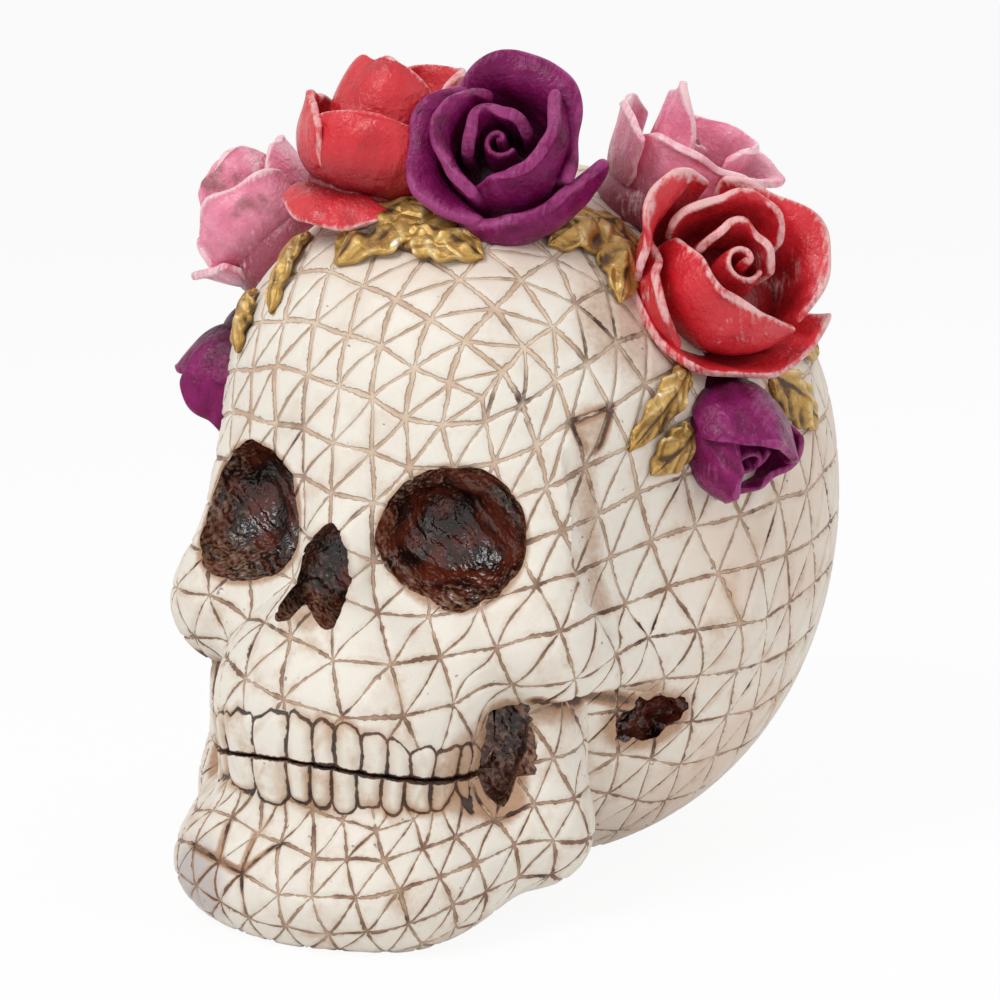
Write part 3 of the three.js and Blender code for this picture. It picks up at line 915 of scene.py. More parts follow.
    def material(self) -> bpy.types.Material:
        """Builds the bone material from the carved distances, the staining and painted shadow held at the
        points, and the place on the skull.

        Returns:
            The material.
        """
        made, nodes = new_material("cast_resin_cream_antiqued")
        marks = self.marks(nodes)
        half = self.line_width / 2.0
        cut = nodes.ease(marks.line, half * 0.85, half * 1.2, 1.0, 0.0)
        in_line = nodes.math("MULTIPLY", cut, nodes.remap(marks.tooth, 0.0, 0.5))
        lined = nodes.mix(in_line, self.ground(nodes, marks), self.line_paint(nodes, marks))
        painted, in_gap = self.teeth(nodes, marks, lined)
        grain = nodes.math("MULTIPLY", nodes.noise(marks.place, self.GRAIN_SIZE, 2.0), 0.3)
        height = nodes.math("SUBTRACT", grain, nodes.math("MAXIMUM", in_line, in_gap))
        nodes.finish(height, 0.3, 0.8, {"Base Color": painted, "Roughness": self.roughness, "IOR": 1.5})
        return made


@dataclass(frozen=True)
class SocketGlaze:
    """Dark brown gloss paint brushed into the hollows.

    The eye gets near black with reddish streaks that catch the light and pale dust on the rims.
    """

    deep: str = "#170704"
    warm: str = "#5f2617"
    dust: str = "#94715a"
    roughness: float = 0.13

    STROKE_SIZE = 2.2
    CLOUD_SIZE = 5.0
    SPECK_SIZE = 0.8
    # The way out of a right-hand socket, and how far along it the rims begin and end.
    OUTWARD = (0.4, -0.9)
    RIMS = (39.5 * MM, 45.5 * MM)

    def material(self) -> bpy.types.Material:
        """Builds the glossy streaked paint of the eye sockets, nose and recesses.

        Returns:
            The material.
        """
        made, nodes = new_material("brushed_brown_gloss")
        place = nodes.place()
        waves = {"Vector": place, "Scale": per_mm(self.STROKE_SIZE) * WAVE_PERIOD, "Distortion": 9.0}
        waves |= {"Detail": 4.0, "Detail Scale": 1.2, "Detail Roughness": 0.6}
        strokes = add_node(nodes.tree, "ShaderNodeTexWave", waves, bands_direction="DIAGONAL").outputs["Fac"]
        cloud = nodes.noise(place, self.CLOUD_SIZE, 5.0)
        speck = nodes.noise(place, self.SPECK_SIZE, 4.0)
        coat = nodes.mix(nodes.ease(cloud, 0.38, 0.66), self.deep, self.warm)
        x, y, _ = nodes.split(place)
        forward = nodes.math("MULTIPLY", y, self.OUTWARD[1])
        out = nodes.math("MULTIPLY_ADD", nodes.math("ABSOLUTE", x), self.OUTWARD[0], forward)
        dusty = nodes.math("ADD", speck, nodes.remap(out, *self.RIMS, 0.0, 0.2))
        worn = nodes.math("ADD", dusty, nodes.remap(strokes, 0.8, 1.0, 0.0, 0.08))
        painted = nodes.mix(nodes.remap(worn, 0.62, 0.84, 0.0, 0.8), coat, self.dust)
        raised = nodes.math("MULTIPLY_ADD", strokes, 0.6, cloud)
        height = nodes.math("MULTIPLY_ADD", speck, 0.3, raised)
        nodes.finish(height, 0.45, 0.8, {"Base Color": painted, "Roughness": self.roughness, "IOR": 1.5})
        return made


@dataclass(frozen=True)
class PetalPaint:
    """Satin acrylic on cast resin petals.

    The eye gets a streaky body colour, painted shade at the foot and lighter streaks that are partly painted
    sheen, dry-brushed along the rim.
    """

    name: str
    body: str
    # Lighter brush streaks that also stand in for gloss: partly painted sheen.
    streak_and_sheen: str
    # Painted shade deep in the rose, at the petals' feet and on the heart's cup.
    foot: str
    rim: str
    smudge: str
    rim_share: float
    rim_reach: float
    smudge_share: float
    roughness: float = 0.32
    shine: float = 0.42

    DAB_SIZE = 1.8
    BLOTCH_SIZE = 8.0
    LUMP_SIZE = 3.5
    BRISTLE_SIZE = 0.55
    PATCH_SIZE = 10.0
    WRINKLE_SIZE = 1.1
    STROKES = (10.0, 2.5, 1.0)
    STROKE_SHIFT = (9.0, 9.0, 9.0)
    SWEEP_TURN = (0.5, 0.4, 0.8)
    SWEEP_STRETCH = (1.0, 0.13, 0.13)
    GLOSS = (-0.12, 0.15)

    def material(self) -> bpy.types.Material:
        """Builds the paint on the petal's own map, whose v runs from foot to rim.

        Returns:
            The material.
        """
        made, nodes = new_material(self.name)
        place = nodes.place()
        flat = add_node(nodes.tree, "ShaderNodeUVMap", uv_map="petal").outputs["UV"]
        across, along, _ = nodes.split(flat)
        drawn = add_node(nodes.tree, "ShaderNodeMapping", {"Vector": flat, "Scale": self.STROKES}).outputs[0]
        shifted = nodes.vector("MULTIPLY_ADD", place, self.STROKE_SHIFT, drawn)
        lines = {"Vector": shifted, "Scale": 1.0, "Detail": 5.0}
        strokes = add_node(nodes.tree, "ShaderNodeTexNoise", lines).outputs["Fac"]
        dabs = nodes.noise(place, self.DAB_SIZE, 5.0, roughness=0.65)

        # Streaks of brush marks and painted sheen.
        coat = nodes.mix(nodes.remap(strokes, 0.36, 0.66), self.body, self.streak_and_sheen)
        # Painted shade towards the petal's foot.
        shaded = nodes.mix(nodes.ease(along, 0.1, 0.7, 0.9, 0.0), coat, self.foot)
        blotch = nodes.noise(place, self.BLOTCH_SIZE, 4.0)
        smudged = nodes.mix(nodes.ease(blotch, 0.53, 0.68, 0.0, self.smudge_share), shaded, self.smudge)

        aside = nodes.math("ABSOLUTE", nodes.math("SUBTRACT", across, 0.5))
        rim = nodes.math("MAXIMUM", nodes.remap(aside, 0.465, 0.505), nodes.remap(along, 0.9, 0.985))
        sweep = {"Vector": place, "Rotation": self.SWEEP_TURN, "Scale": self.SWEEP_STRETCH}
        swept = add_node(nodes.tree, "ShaderNodeMapping", sweep).outputs[0]
        scumble = nodes.math("MULTIPLY_ADD", nodes.noise(swept, self.BRISTLE_SIZE, 3.0), 1.1, dabs)
        rough = nodes.math("MULTIPLY_ADD", nodes.noise(place, self.PATCH_SIZE, 3.0), 2.0, scumble)
        brushed = nodes.math("MULTIPLY_ADD", rim, self.rim_reach, rough)
        painted = nodes.mix(nodes.ease(brushed, 2.27, 2.85, 0.0, self.rim_share), smudged, self.rim)

        gloss = nodes.remap(dabs, 0.3, 0.7, *(self.roughness + more for more in self.GLOSS))
        waxy = nodes.math("MULTIPLY_ADD", nodes.noise(place, self.LUMP_SIZE, 2.0), 1.6, strokes)
        wrinkle = nodes.noise(place, self.WRINKLE_SIZE, 5.0, distortion=0.8)
        height = nodes.math("MULTIPLY_ADD", wrinkle, 0.9, waxy)
        paint = {"Base Color": painted, "Roughness": gloss, "Specular IOR Level": self.shine}
        nodes.finish(height, 0.4, 0.75, paint)
        return made


@dataclass(frozen=True)
class GiltPaint:
    """Metallic gold paint on cast leaves.

    The eye gets a painted highlight on the ridges, brown left in the veins and a few pale chips.
    """

    gold: str = "#b48d49"
    painted_highlight: str = "#dcc289"
    crease: str = "#4a2f17"
    chip: str = "#e9e2d2"
    roughness: float = 0.42

    DAB_SIZE = 1.8
    CHIP_SIZE = 6.0
    FACET_SIZE = 4.5

    def material(self) -> bpy.types.Material:
        """Builds the gilding from the leaf's own relief.

        Returns:
            The material.
        """
        made, nodes = new_material("gold_paint_on_resin")
        place = nodes.place()
        dabs = nodes.noise(place, self.DAB_SIZE, 5.0, roughness=0.6)
        level = nodes.math("MULTIPLY_ADD", dabs, 0.6, nodes.attribute("relief"))
        valley = nodes.ease(level, 0.3, 0.72, 1.0, 0.0)
        # Painted highlight where the leaf's relief is high.
        shine = nodes.mix(nodes.ease(level, 0.75, 1.25), self.gold, self.painted_highlight)
        creased = nodes.mix(valley, shine, self.crease)
        chipped = nodes.remap(nodes.noise(place, self.CHIP_SIZE, 4.0), 0.7, 0.73)
        painted = nodes.mix(chipped, creased, self.chip)
        metal = nodes.remap(valley, 0.0, 1.0, 0.5, 0.1)
        facets = {"Vector": place, "Scale": per_mm(self.FACET_SIZE), "Randomness": 1.0}
        cells = add_node(nodes.tree, "ShaderNodeTexVoronoi", facets, feature="DISTANCE_TO_EDGE")
        fold = nodes.remap(cells.outputs["Distance"], 0.0, 0.16)
        height = nodes.math("MULTIPLY_ADD", fold, 0.7, dabs)
        paint = {"Base Color": painted, "Metallic": metal, "Roughness": self.roughness}
        nodes.finish(height, 0.6, 0.8, paint)
        return made


@dataclass(frozen=True)
class Ledge:
    """A step down in the bone, whose edge is a line on both sides of the skull.

    The line gives, for rising places on the axis that it runs along, where the edge lies on the axis
    across. The bone beyond the edge lies lower by the depth and comes back up over the fade.
    """

    line: tuple[tuple[float, float], ...]
    along: int
    across: int
    beyond: float
    depth: float
    fade: float

    SHARP = (-0.3, 0.5)
    RUN_IN = 3.5
    INNER = (22.0, 24.0)

    def sink(self, points: np.ndarray) -> np.ndarray:
        """How deep the step is at each point.

        Args:
            points: places on the bone.

        Returns:
            Millimetres.
        """
        runs, edges = np.array(self.line).T
        run = points[:, self.along]
        past = self.beyond * (points[:, self.across] - np.interp(run, runs, edges))
        cut = smoothstep(*self.SHARP, past) * (1.0 - smoothstep(self.SHARP[1], self.fade, past))
        ends = smoothstep(runs[0], runs[0] + self.RUN_IN, run)
        ends *= 1.0 - smoothstep(runs[-1] - self.RUN_IN, runs[-1], run)
        return self.depth * cut * ends * smoothstep(*self.INNER, np.abs(points[:, 0]))


CHEEK_LINE = (
    *((-44.0, 36.5), (-36.0, 38.8), (-32.0, 39.7), (-24.0, 38.8)),
    *((-20.0, 37.8), (-13.0, 35.5), (-8.0, 33.0)),
)
TEMPLE_LINE = (
    *((48.0, -29.0), (51.5, -30.5), (54.5, -32.5), (58.0, -33.3)),
    *((62.0, -33.5), (67.0, -32.0), (81.0, -31.5)),
)
LEDGES = (
    Ledge(CHEEK_LINE, along=1, across=2, beyond=-1.0, depth=1.5, fade=7.0),
    Ledge(TEMPLE_LINE, along=2, across=1, beyond=1.0, depth=1.5, fade=15.0),
)


@dataclass
class Carving:
    """A bone casting with the triangle net carved into it and its hollows cut out."""

    node: str
    bone: BoneField
    cells: tuple[int, int, int]
    lean: tuple[float, float]
    cuts: int = 9
    depth: float = 0.4
    line_width: float = 1.4
    wobble: float = 0.3
    tooth_depth: float = 0.45
    tooth_bulge: float = 0.3
    tooth_wander: Point = (0.05, 0.15, 0.75)
    ledges: tuple[Ledge, ...] = ()
    rounds: int = 120
    diagonal: float = 1.2
    slack: float = 0.8
    unsteady: float = 0.35
    seed: int = 5

    LINE_WIDTHS = (0.85, 1.25)
    DIAGONAL_WIDTHS = (0.55, 0.8)
    THIN = 0.82
    SPRING = 0.12
    WOBBLE_SIZE = 14.0
    WANDER_SIZE = 6.5
    TOOTH_CLEAR = (-0.3, 0.6)
    TOOTH_LINE = 0.5
    TOOTH_SHOULDER = 1.6
    TOOTH_REACH = 0.8
    SHARP_ANGLE = 50.0

    def net(self) -> bmesh.types.BMesh:
        """Lays an even net of triangles on the bone.

        Returns:
            A bmesh of the net, in millimetres, whose corners hold their distance from each carved line.
        """
        bm = bmesh.new()
        bmesh.ops.create_cube(bm, size=2.0)
        for axis, cells in enumerate(self.cells):
            bmesh.ops.subdivide_edges(bm, edges=rows_along(bm, axis), cuts=cells - 1, use_grid_fill=True)
        box = coordinates(bm)
        aim = np.tan(box * (math.pi / 4.0))
        aim[:, :2] -= np.array(self.lean) * aim[:, 2:] * (1.0 - box[:, :2] ** 2)
        aim /= np.linalg.norm(aim, axis=1, keepdims=True)
        places = self.bone.shoot(np.tile(self.bone.core, (len(aim), 1)), aim)
        widths = self.split(bm)
        move_points(bm, self.relax(bm, places, widths))
        groove = bm.loops.layers.float_vector.new("groove")
        for face in bm.faces:
            for corner, loop in enumerate(face.loops):
                opposite = loop.link_loop_next.edge
                reach = [0.0, 0.0, 0.0]
                reach[corner] = 2.0 * face.calc_area() / opposite.calc_length() / opposite[widths]
                loop[groove] = reach
        return bm

    def split(self, bm: bmesh.types.BMesh) -> bmesh.types.BMLayerItem:
        """Splits the cells of the cube from lower left to upper right, as seen from outside.

        Args:
            bm: the divided cube.

        Returns:
            Edge layer that holds how wide each line is carved, against the common width.
        """
        draw = np.random.default_rng(self.seed)
        widths = bm.edges.layers.float.new("width")
        for edge in bm.edges:
            edge[widths] = draw.uniform(*self.LINE_WIDTHS)
        for face in bm.faces[:]:
            normal = face.normal
            right = Vector((-normal.y, normal.x, 0.0)) if abs(normal.z) < 0.5 else Vector((1.0, 0.0, 0.0))
            slope = right + normal.cross(right)
            ends = sorted(face.verts, key=lambda vertex: vertex.co.dot(slope))
            _, loop = bmesh.utils.face_split(face, ends[0], ends[-1])
            loop.edge[widths] = draw.uniform(*self.DIAGONAL_WIDTHS)
        return widths

    def relax(
        self, bm: bmesh.types.BMesh, places: np.ndarray, widths: bmesh.types.BMLayerItem
    ) -> np.ndarray:
        """Evens out the net by springs along its lines, drawing it back to the bone each time.

        Args:
            bm: the split cube.
            places: where its points lie on the bone.
            widths: edge layer by which the thin diagonals are known.

        Returns:
            The evened places, a little unsteady as drawn by hand.
        """
        bm.verts.index_update()
        pairs = np.array([[v.index for v in e.verts] for e in bm.edges])
        diagonal = np.array([e[widths] < self.THIN for e in bm.edges])
        span = places[pairs[:, 1]] - places[pairs[:, 0]]
        size = np.linalg.norm(span, axis=1)[~diagonal].mean() * self.slack
        rest = np.where(diagonal, size * self.diagonal, size)[:, None]
        for _ in range(self.rounds):
            span = places[pairs[:, 1]] - places[pairs[:, 0]]
            length = np.linalg.norm(span, axis=1, keepdims=True)
            pull = span * (1.0 - rest / np.maximum(length, FLAT)) * self.SPRING
            force = np.zeros_like(places)
            np.add.at(force, pairs[:, 0], pull)
            np.add.at(force, pairs[:, 1], -pull)
            places = self.bone.settle(places + force, 1)
        draw = np.random.default_rng(self.seed)
        return self.bone.settle(places + draw.normal(size=places.shape) * self.unsteady, 2)

    def carve(self, bm: bmesh.types.BMesh) -> None:
        """Divides the net finely, lays it on the bone and sinks its lines and the tooth outlines.

        Args:
            bm: the net, which is changed.
        """
        bmesh.ops.subdivide_edges(bm, edges=bm.edges[:], cuts=self.cuts, use_grid_fill=True)
        self.refine(bm)
        groove = bm.loops.layers.float_vector["groove"]
        nearest = np.array([min(v.link_loops[0][groove]) for v in bm.verts])
        places = self.bone.settle(coordinates(bm), 3)
        places = self.bone.settle(places + ripple(places, self.WOBBLE_SIZE, self.seed) * self.wobble, 2)
        layout = BITE.layout(places)
        layout[:, :3] += ripple(places, self.WANDER_SIZE, self.seed + 1) * self.tooth_wander
        tooth = BITE.outline(layout)
        sink = self.depth * (1.0 - smoothstep(0.0, self.line_width / 2.0, nearest))
        sink = sink * smoothstep(*self.TOOTH_CLEAR, tooth)
        sink += self.tooth_depth * np.exp(-((tooth / self.TOOTH_LINE) ** 2))
        sink -= self.tooth_bulge * smoothstep(0.0, self.TOOTH_SHOULDER, -tooth)
        for ledge in self.ledges:
            sink += ledge.sink(places)
        places = places - self.bone.normal(places) * sink[:, None]
        bm.verts.layers.float.new("stain_and_shade")
        arch_layer = bm.verts.layers.float_vector.new("arch")
        half_layer = bm.verts.layers.float.new("tooth_half")
        move_points(bm, places)
        for vertex, row in zip(bm.verts, layout):
            vertex[arch_layer] = row[:3]
            vertex[half_layer] = row[3]

    def refine(self, bm: bmesh.types.BMesh) -> None:
        """Divides the mesh once more where the teeth are.

        Args:
            bm: the finely divided net, which is changed.
        """
        near = BITE.outline(BITE.layout(coordinates(bm))) < self.TOOTH_REACH
        edges = [e for e in bm.edges if near[e.verts[0].index] and near[e.verts[1].index]]
        bmesh.ops.subdivide_edges(bm, edges=edges, cuts=1, use_grid_fill=True)
        bmesh.ops.triangulate(bm, faces=[f for f in bm.faces if len(f.verts) > 3])

    def build(self, cutters: Sequence[bpy.types.Object], *materials: bpy.types.Material) -> bpy.types.Object:
        """Makes the carved bone with its hollows.

        Args:
            cutters: closed shapes that are taken out of it.
            *materials: bone paint, then the paint of the hollows.

        Returns:
            The finished piece.
        """
        bm = self.net()
        self.carve(bm)
        made = new_object(f"{self.node}_carved", bm, *materials)
        for cutter in cutters:
            cut = made.modifiers.new(cutter.name, "BOOLEAN")
            cut.operation = "DIFFERENCE"
            cut.solver = "MANIFOLD"
            cut.object = cutter
        graph = bpy.context.evaluated_depsgraph_get()
        mesh = bpy.data.meshes.new_from_object(made.evaluated_get(graph))
        made.modifiers.clear()
        made.data = mesh
        mesh.shade_smooth()
        mesh.set_sharp_from_angle(angle=math.radians(self.SHARP_ANGLE))
        places = np.array([v.co for v in mesh.vertices]) / MM
        # Staining and painted shadow, held at the points for the bone paint.
        stains_and_shade = np.max([stain_and_shade.share(places) for stain_and_shade in STAINS_AND_SHADE], axis=0)
        mesh.attributes["stain_and_shade"].data.foreach_set("value", stains_and_shade)
        LOG.info("%s has %d faces", made.name, len(mesh.polygons))
        return made


@dataclass
class Cutters:
    """Shapes that hollow out the bones: eye sockets, nose, ear and jaw recesses, mouth line and floor."""

    bone: bpy.types.Material
    glaze: bpy.types.Material
    room: float = 150.0
    mouth_gap: float = 0.5
    cranium_front: float = -30.0
    jaw_front: float = -38.0
    ring: int = 64
    rounding: int = 8
    mouth_cuts: int = 40
    made: list[bpy.types.Object] = field(default_factory=list)

    # Share of the roughness, and size against the hollow's radius.
    WALL_WAVES = ((1.0, 0.9), (0.4, 0.35))
    # How far the outline wavers and how wide its waves are.
    EDGE_WAVE = (0.12, 1.8)

    def keep(self, name: str, bm: bmesh.types.BMesh, hollow: bool) -> bpy.types.Object:
        """Turns a cutter's bmesh into an object and remembers it.

        Args:
            name: name of the cutter.
            bm: its shape.
            hollow: whether the faces that it leaves are glazed.

        Returns:
            The cutter.
        """
        for face in bm.faces:
            face.material_index = int(hollow)
        made = new_object(name, bm, self.bone, self.glaze)
        self.made.append(made)
        return made

    def ball(self, name: str, mass: Ellipsoid, rough: float) -> bpy.types.Object:
        """A rounded hollow with an uneven wall.

        Args:
            name: name of the cutter.
            mass: shape of the hollow.
            rough: how far its wall wavers, in millimetres.

        Returns:
            The cutter.
        """
        bm = bmesh.new()
        bmesh.ops.create_uvsphere(bm, u_segments=self.ring, v_segments=self.ring // 2, radius=1.0)
        for share, size in self.WALL_WAVES:
            self.roughen(bm, share * rough / min(mass.radii), size)
        bmesh.ops.scale(bm, vec=mass.radii, verts=bm.verts[:])
        bmesh.ops.translate(bm, vec=mass.at, verts=bm.verts[:])
        return self.keep(name, bm, True)

    def roughen(self, bm: bmesh.types.BMesh, amount: float, size: float) -> None:
        """Pushes the points of a cutter about a little, as a tool leaves a hollow.

        Args:
            bm: the cutter's mesh, which is changed.
            amount: how far.
            size: how wide the waves are.
        """
        pushes = ripple(coordinates(bm), size, len(self.made)) * amount
        for vertex, push in zip(bm.verts, pushes):
            vertex.co += Vector(push)

    def prism(self, opening: Opening, side: int) -> bpy.types.Object:
        """A straight-walled hollow of an opening's outline.

        Args:
            opening: the opening.
            side: 1 as the opening lies, -1 mirrored to the left.

        Returns:
            The cutter.
        """
        angles, reaches = np.array(opening.outline).T
        mirror = Vector((side, 1.0, 1.0))
        ahead = bearing((opening.facing, 0.0))
        across = Vector((0.0, 0.0, 1.0)).cross(ahead)
        bm = bmesh.new()
        bmesh.ops.create_circle(bm, cap_ends=True, segments=self.ring * 2, radius=1.0)
        for vertex in bm.verts:
            turn = math.atan2(vertex.co.x, vertex.co.y)
            reach = float(np.interp(math.degrees(turn), angles, reaches, period=360.0))
            spot = Vector(opening.middle) + across * (reach * math.sin(turn)) - ahead * opening.depth
            vertex.co = (spot + Vector((0.0, 0.0, reach * math.cos(turn)))) * mirror
        for _ in range(self.rounding):
            bmesh.ops.smooth_vert(
                bm, verts=bm.verts[:], factor=0.5, use_axis_x=True, use_axis_y=True, use_axis_z=True
            )
        self.roughen(bm, *self.EDGE_WAVE)
        grown = bmesh.ops.extrude_face_region(bm, geom=bm.faces[:])["geom"]
        moved = [v for v in grown if isinstance(v, bmesh.types.BMVert)]
        bmesh.ops.translate(bm, vec=ahead * mirror * (self.room / 5.0), verts=moved)
        bmesh.ops.recalc_face_normals(bm, faces=bm.faces[:])
        return self.keep(f"{opening.name}_{side}", bm, True)

    def slab(self, name: str, front_to: float, above: bool) -> bpy.types.Object:
        """The room below or above the mouth line, in front of a plane.

        Args:
            name: name of the cutter.
            front_to: where the plane lies.
            above: whether the room is above the line.

        Returns:
            The cutter.
        """
        bm = bmesh.new()
        bmesh.ops.create_cube(bm, size=2.0)
        for axis in (0, 1):
            rows = rows_along(bm, axis)
            bmesh.ops.subdivide_edges(bm, edges=rows, cuts=self.mouth_cuts, use_grid_fill=True)
        side = 1.0 if above else -1.0
        for vertex in bm.verts:
            on_line = vertex.co.z * side < 0.0
            x = vertex.co.x * self.room / 2.0
            y = front_to + (vertex.co.y - 1.0) * self.room / 4.0
            line = float(BITE.line(BITE.angle(np.array([[x, y, 0.0]])))[0])
            vertex.co = (x, y, line - side * self.mouth_gap / 2.0 if on_line else side * self.room)
        return self.keep(name, bm, True)

    def floor(self) -> bpy.types.Object:
        """Everything below the flat base.

        Returns:
            The cutter.
        """
        bm = bmesh.new()
        bmesh.ops.create_cube(bm, size=2.0 * self.room)
        bmesh.ops.translate(bm, vec=(0.0, 0.0, -self.room), verts=bm.verts[:])
        return self.keep("below_floor", bm, False)

    def clear(self) -> None:
        """Removes the cutters once they are used."""
        for made in self.made:
            mesh = made.data
            bpy.data.objects.remove(made)
            bpy.data.meshes.remove(mesh)
        self.made.clear()


@dataclass
class Skull:
    """The carved cranium and lower jaw with their teeth."""

    bone: bpy.types.Material
    glaze: bpy.types.Material

    EYE_ROUGH = 0.6
    EAR_ROUGH = 0.7

    def build(self) -> None:
        """Builds and dresses the two bones."""
        cutters = Cutters(self.bone, self.glaze)
        floor = cutters.floor()
        hollows = [
            cutters.prism(NOSE, 1),
            cutters.ball("right_eye", RIGHT_EYE, self.EYE_ROUGH),
            cutters.ball("left_eye", LEFT_EYE, self.EYE_ROUGH),
            cutters.ball("right_ear", RIGHT_EAR, self.EAR_ROUGH),
            cutters.ball("left_ear", LEFT_EAR, self.EAR_ROUGH),
        ]
        slots = [cutters.prism(SLOT_CUT, side) for side in (1, -1)]
        below = cutters.slab("below_mouth", cutters.cranium_front, False)
        above = cutters.slab("above_mouth", cutters.jaw_front, True)
        cranium = Carving("cranium", CRANIUM, (9, 11, 10), (0.3, 0.15), cuts=10, ledges=LEDGES)
        jaw = Carving("lower_jaw", JAW, (8, 7, 6), (0.2, 0.1), slack=1.0, seed=8)
        made = cranium.build([floor, below, *hollows, *slots], self.bone, self.glaze)
        dress(made, Slot.BONE, "cranium")
        made = jaw.build([floor, above, *slots], self.bone, self.glaze)
        dress(made, Slot.BONE, "lower_jaw")
        cutters.clear()


@dataclass(frozen=True)
class Petal:
    """One petal of a rose.

    It is centred on its turn and spans its spread to each side. It springs from the layer's foot, swells
    towards its belly and ends at its rim and height, where its lip rolls over by curl degrees. Roll is
    added to the lip's radius, and shoulder is the share by which the edges are shorter than the middle.
    """

    name: str
    turn: float
    spread: float
    layer: int
    belly: float
    rim: float
    tall: float
    tuck: float
    point: float = 0.0
    slant: float = 0.0
    curl: float = 65.0
    wave: float = 0.6
    roll: float = 0.0
    shoulder: float = 0.34

    FOOT = 2.2
    GAP = 0.4
    WAIST = 0.6
    BELLY_START = 0.125
    BELLY_END = 0.75
    LIP_START = 0.84
    LIP_RADIUS = 1.0
    LIP_GROWTH = 0.7
    LIP_ROOM = 0.5
    LIP_SHARE = 0.08
    FLARE = 0.8
    LUMP = 0.28
    LUMP_SIZE = 7.0
    LUMP_SEED = 3
    STRAIGHT = (0.6, 0.95)
    # Height of each wave of the lip, how often it comes and how its phase runs.
    RIPPLES = ((1.0, 4.4, 1.0), (0.6, 8.3, 2.3))
    RIPPLE_LIFT = 0.8
    STEPS_ACROSS = 16
    STEPS_ALONG = 18

    def places(self, across: np.ndarray, along: np.ndarray, core_radius: float, phase: float) -> np.ndarray:
        """Places the petal's middle sheet in the rose's own frame.

        Args:
            across: from -1 at one edge to 1 at the other.
            along: from 0 at the foot to 1 at the rim.
            core_radius: radius of the bud core.
            phase: shifts the ripples of the lip.

        Returns:
            One place per row, in millimetres.
        """
        foot = core_radius + self.FOOT / 2.0 + self.GAP + self.layer * (self.FOOT + self.GAP)
        width = self.WAIST + (1.0 - self.WAIST) * np.minimum(1.0, 2.0 * along)
        angle = np.radians(self.turn + self.spread * across * width)
        length = along * (1.0 - self.shoulder * across**2)
        lip = self.LIP_RADIUS + self.LIP_GROWTH * self.layer + self.roll
        start = self.LIP_START - self.LIP_SHARE * self.roll
        cut = np.clip(1.0 - (lip + self.LIP_ROOM) / (self.BELLY_END * abs(self.tall)), *self.STRAIGHT)
        share = np.minimum(length / start, 1.0) * cut
        knots = np.array(
            [
                [foot, 0.0],
                [self.belly, self.tall * self.BELLY_START],
                [self.belly, self.tall * self.BELLY_END],
                [self.rim, self.tall],
            ]
        )
        rest = 1.0 - share
        weights = np.stack([rest**3, 3 * rest**2 * share, 3 * rest * share**2, share**3], axis=1)
        spot = weights @ knots
        end = (1.0 - cut) * (knots[2] - knots[1]) + cut * (knots[3] - knots[2])
        end = end / np.linalg.norm(end)
        outward = np.array([end[1], -end[0]])
        roll = np.radians(self.curl) * np.clip((length - start) / (1.0 - start), 0.0, 1.0)
        spot = spot + lip * (np.sin(roll)[:, None] * end + (1.0 - np.cos(roll))[:, None] * outward)
        waves = sum(high * np.sin(across * often + late * phase) for high, often, late in self.RIPPLES)
        ripples = waves * self.wave * along**3
        radius = spot[:, 0] + self.tuck * across * along + ripples + self.FLARE * across**4 * along
        height = spot[:, 1] + self.point * (1.0 - np.abs(across)) * along**2 + ripples * self.RIPPLE_LIFT
        height += self.slant * across * along**2
        places = np.stack([radius * np.cos(angle), radius * np.sin(angle), height], axis=1)
        return places + ripple(places + phase * self.LUMP_SIZE, self.LUMP_SIZE, self.LUMP_SEED) * self.LUMP

    def mesh(self, core_radius: float, phase: float) -> bmesh.types.BMesh:
        """Shapes a grid into the petal's middle sheet.

        Args:
            core_radius: radius of the bud core.
            phase: shifts the ripples of the lip.

        Returns:
            The sheet in the rose's own frame.
        """
        bm = bmesh.new()
        bm.loops.layers.uv.new("petal")
        bmesh.ops.create_grid(
            bm, x_segments=self.STEPS_ACROSS, y_segments=self.STEPS_ALONG, size=1.0, calc_uvs=True
        )
        flat = coordinates(bm)
        move_points(bm, self.places(flat[:, 0], (flat[:, 1] + 1.0) / 2.0, core_radius, phase))
        return bm


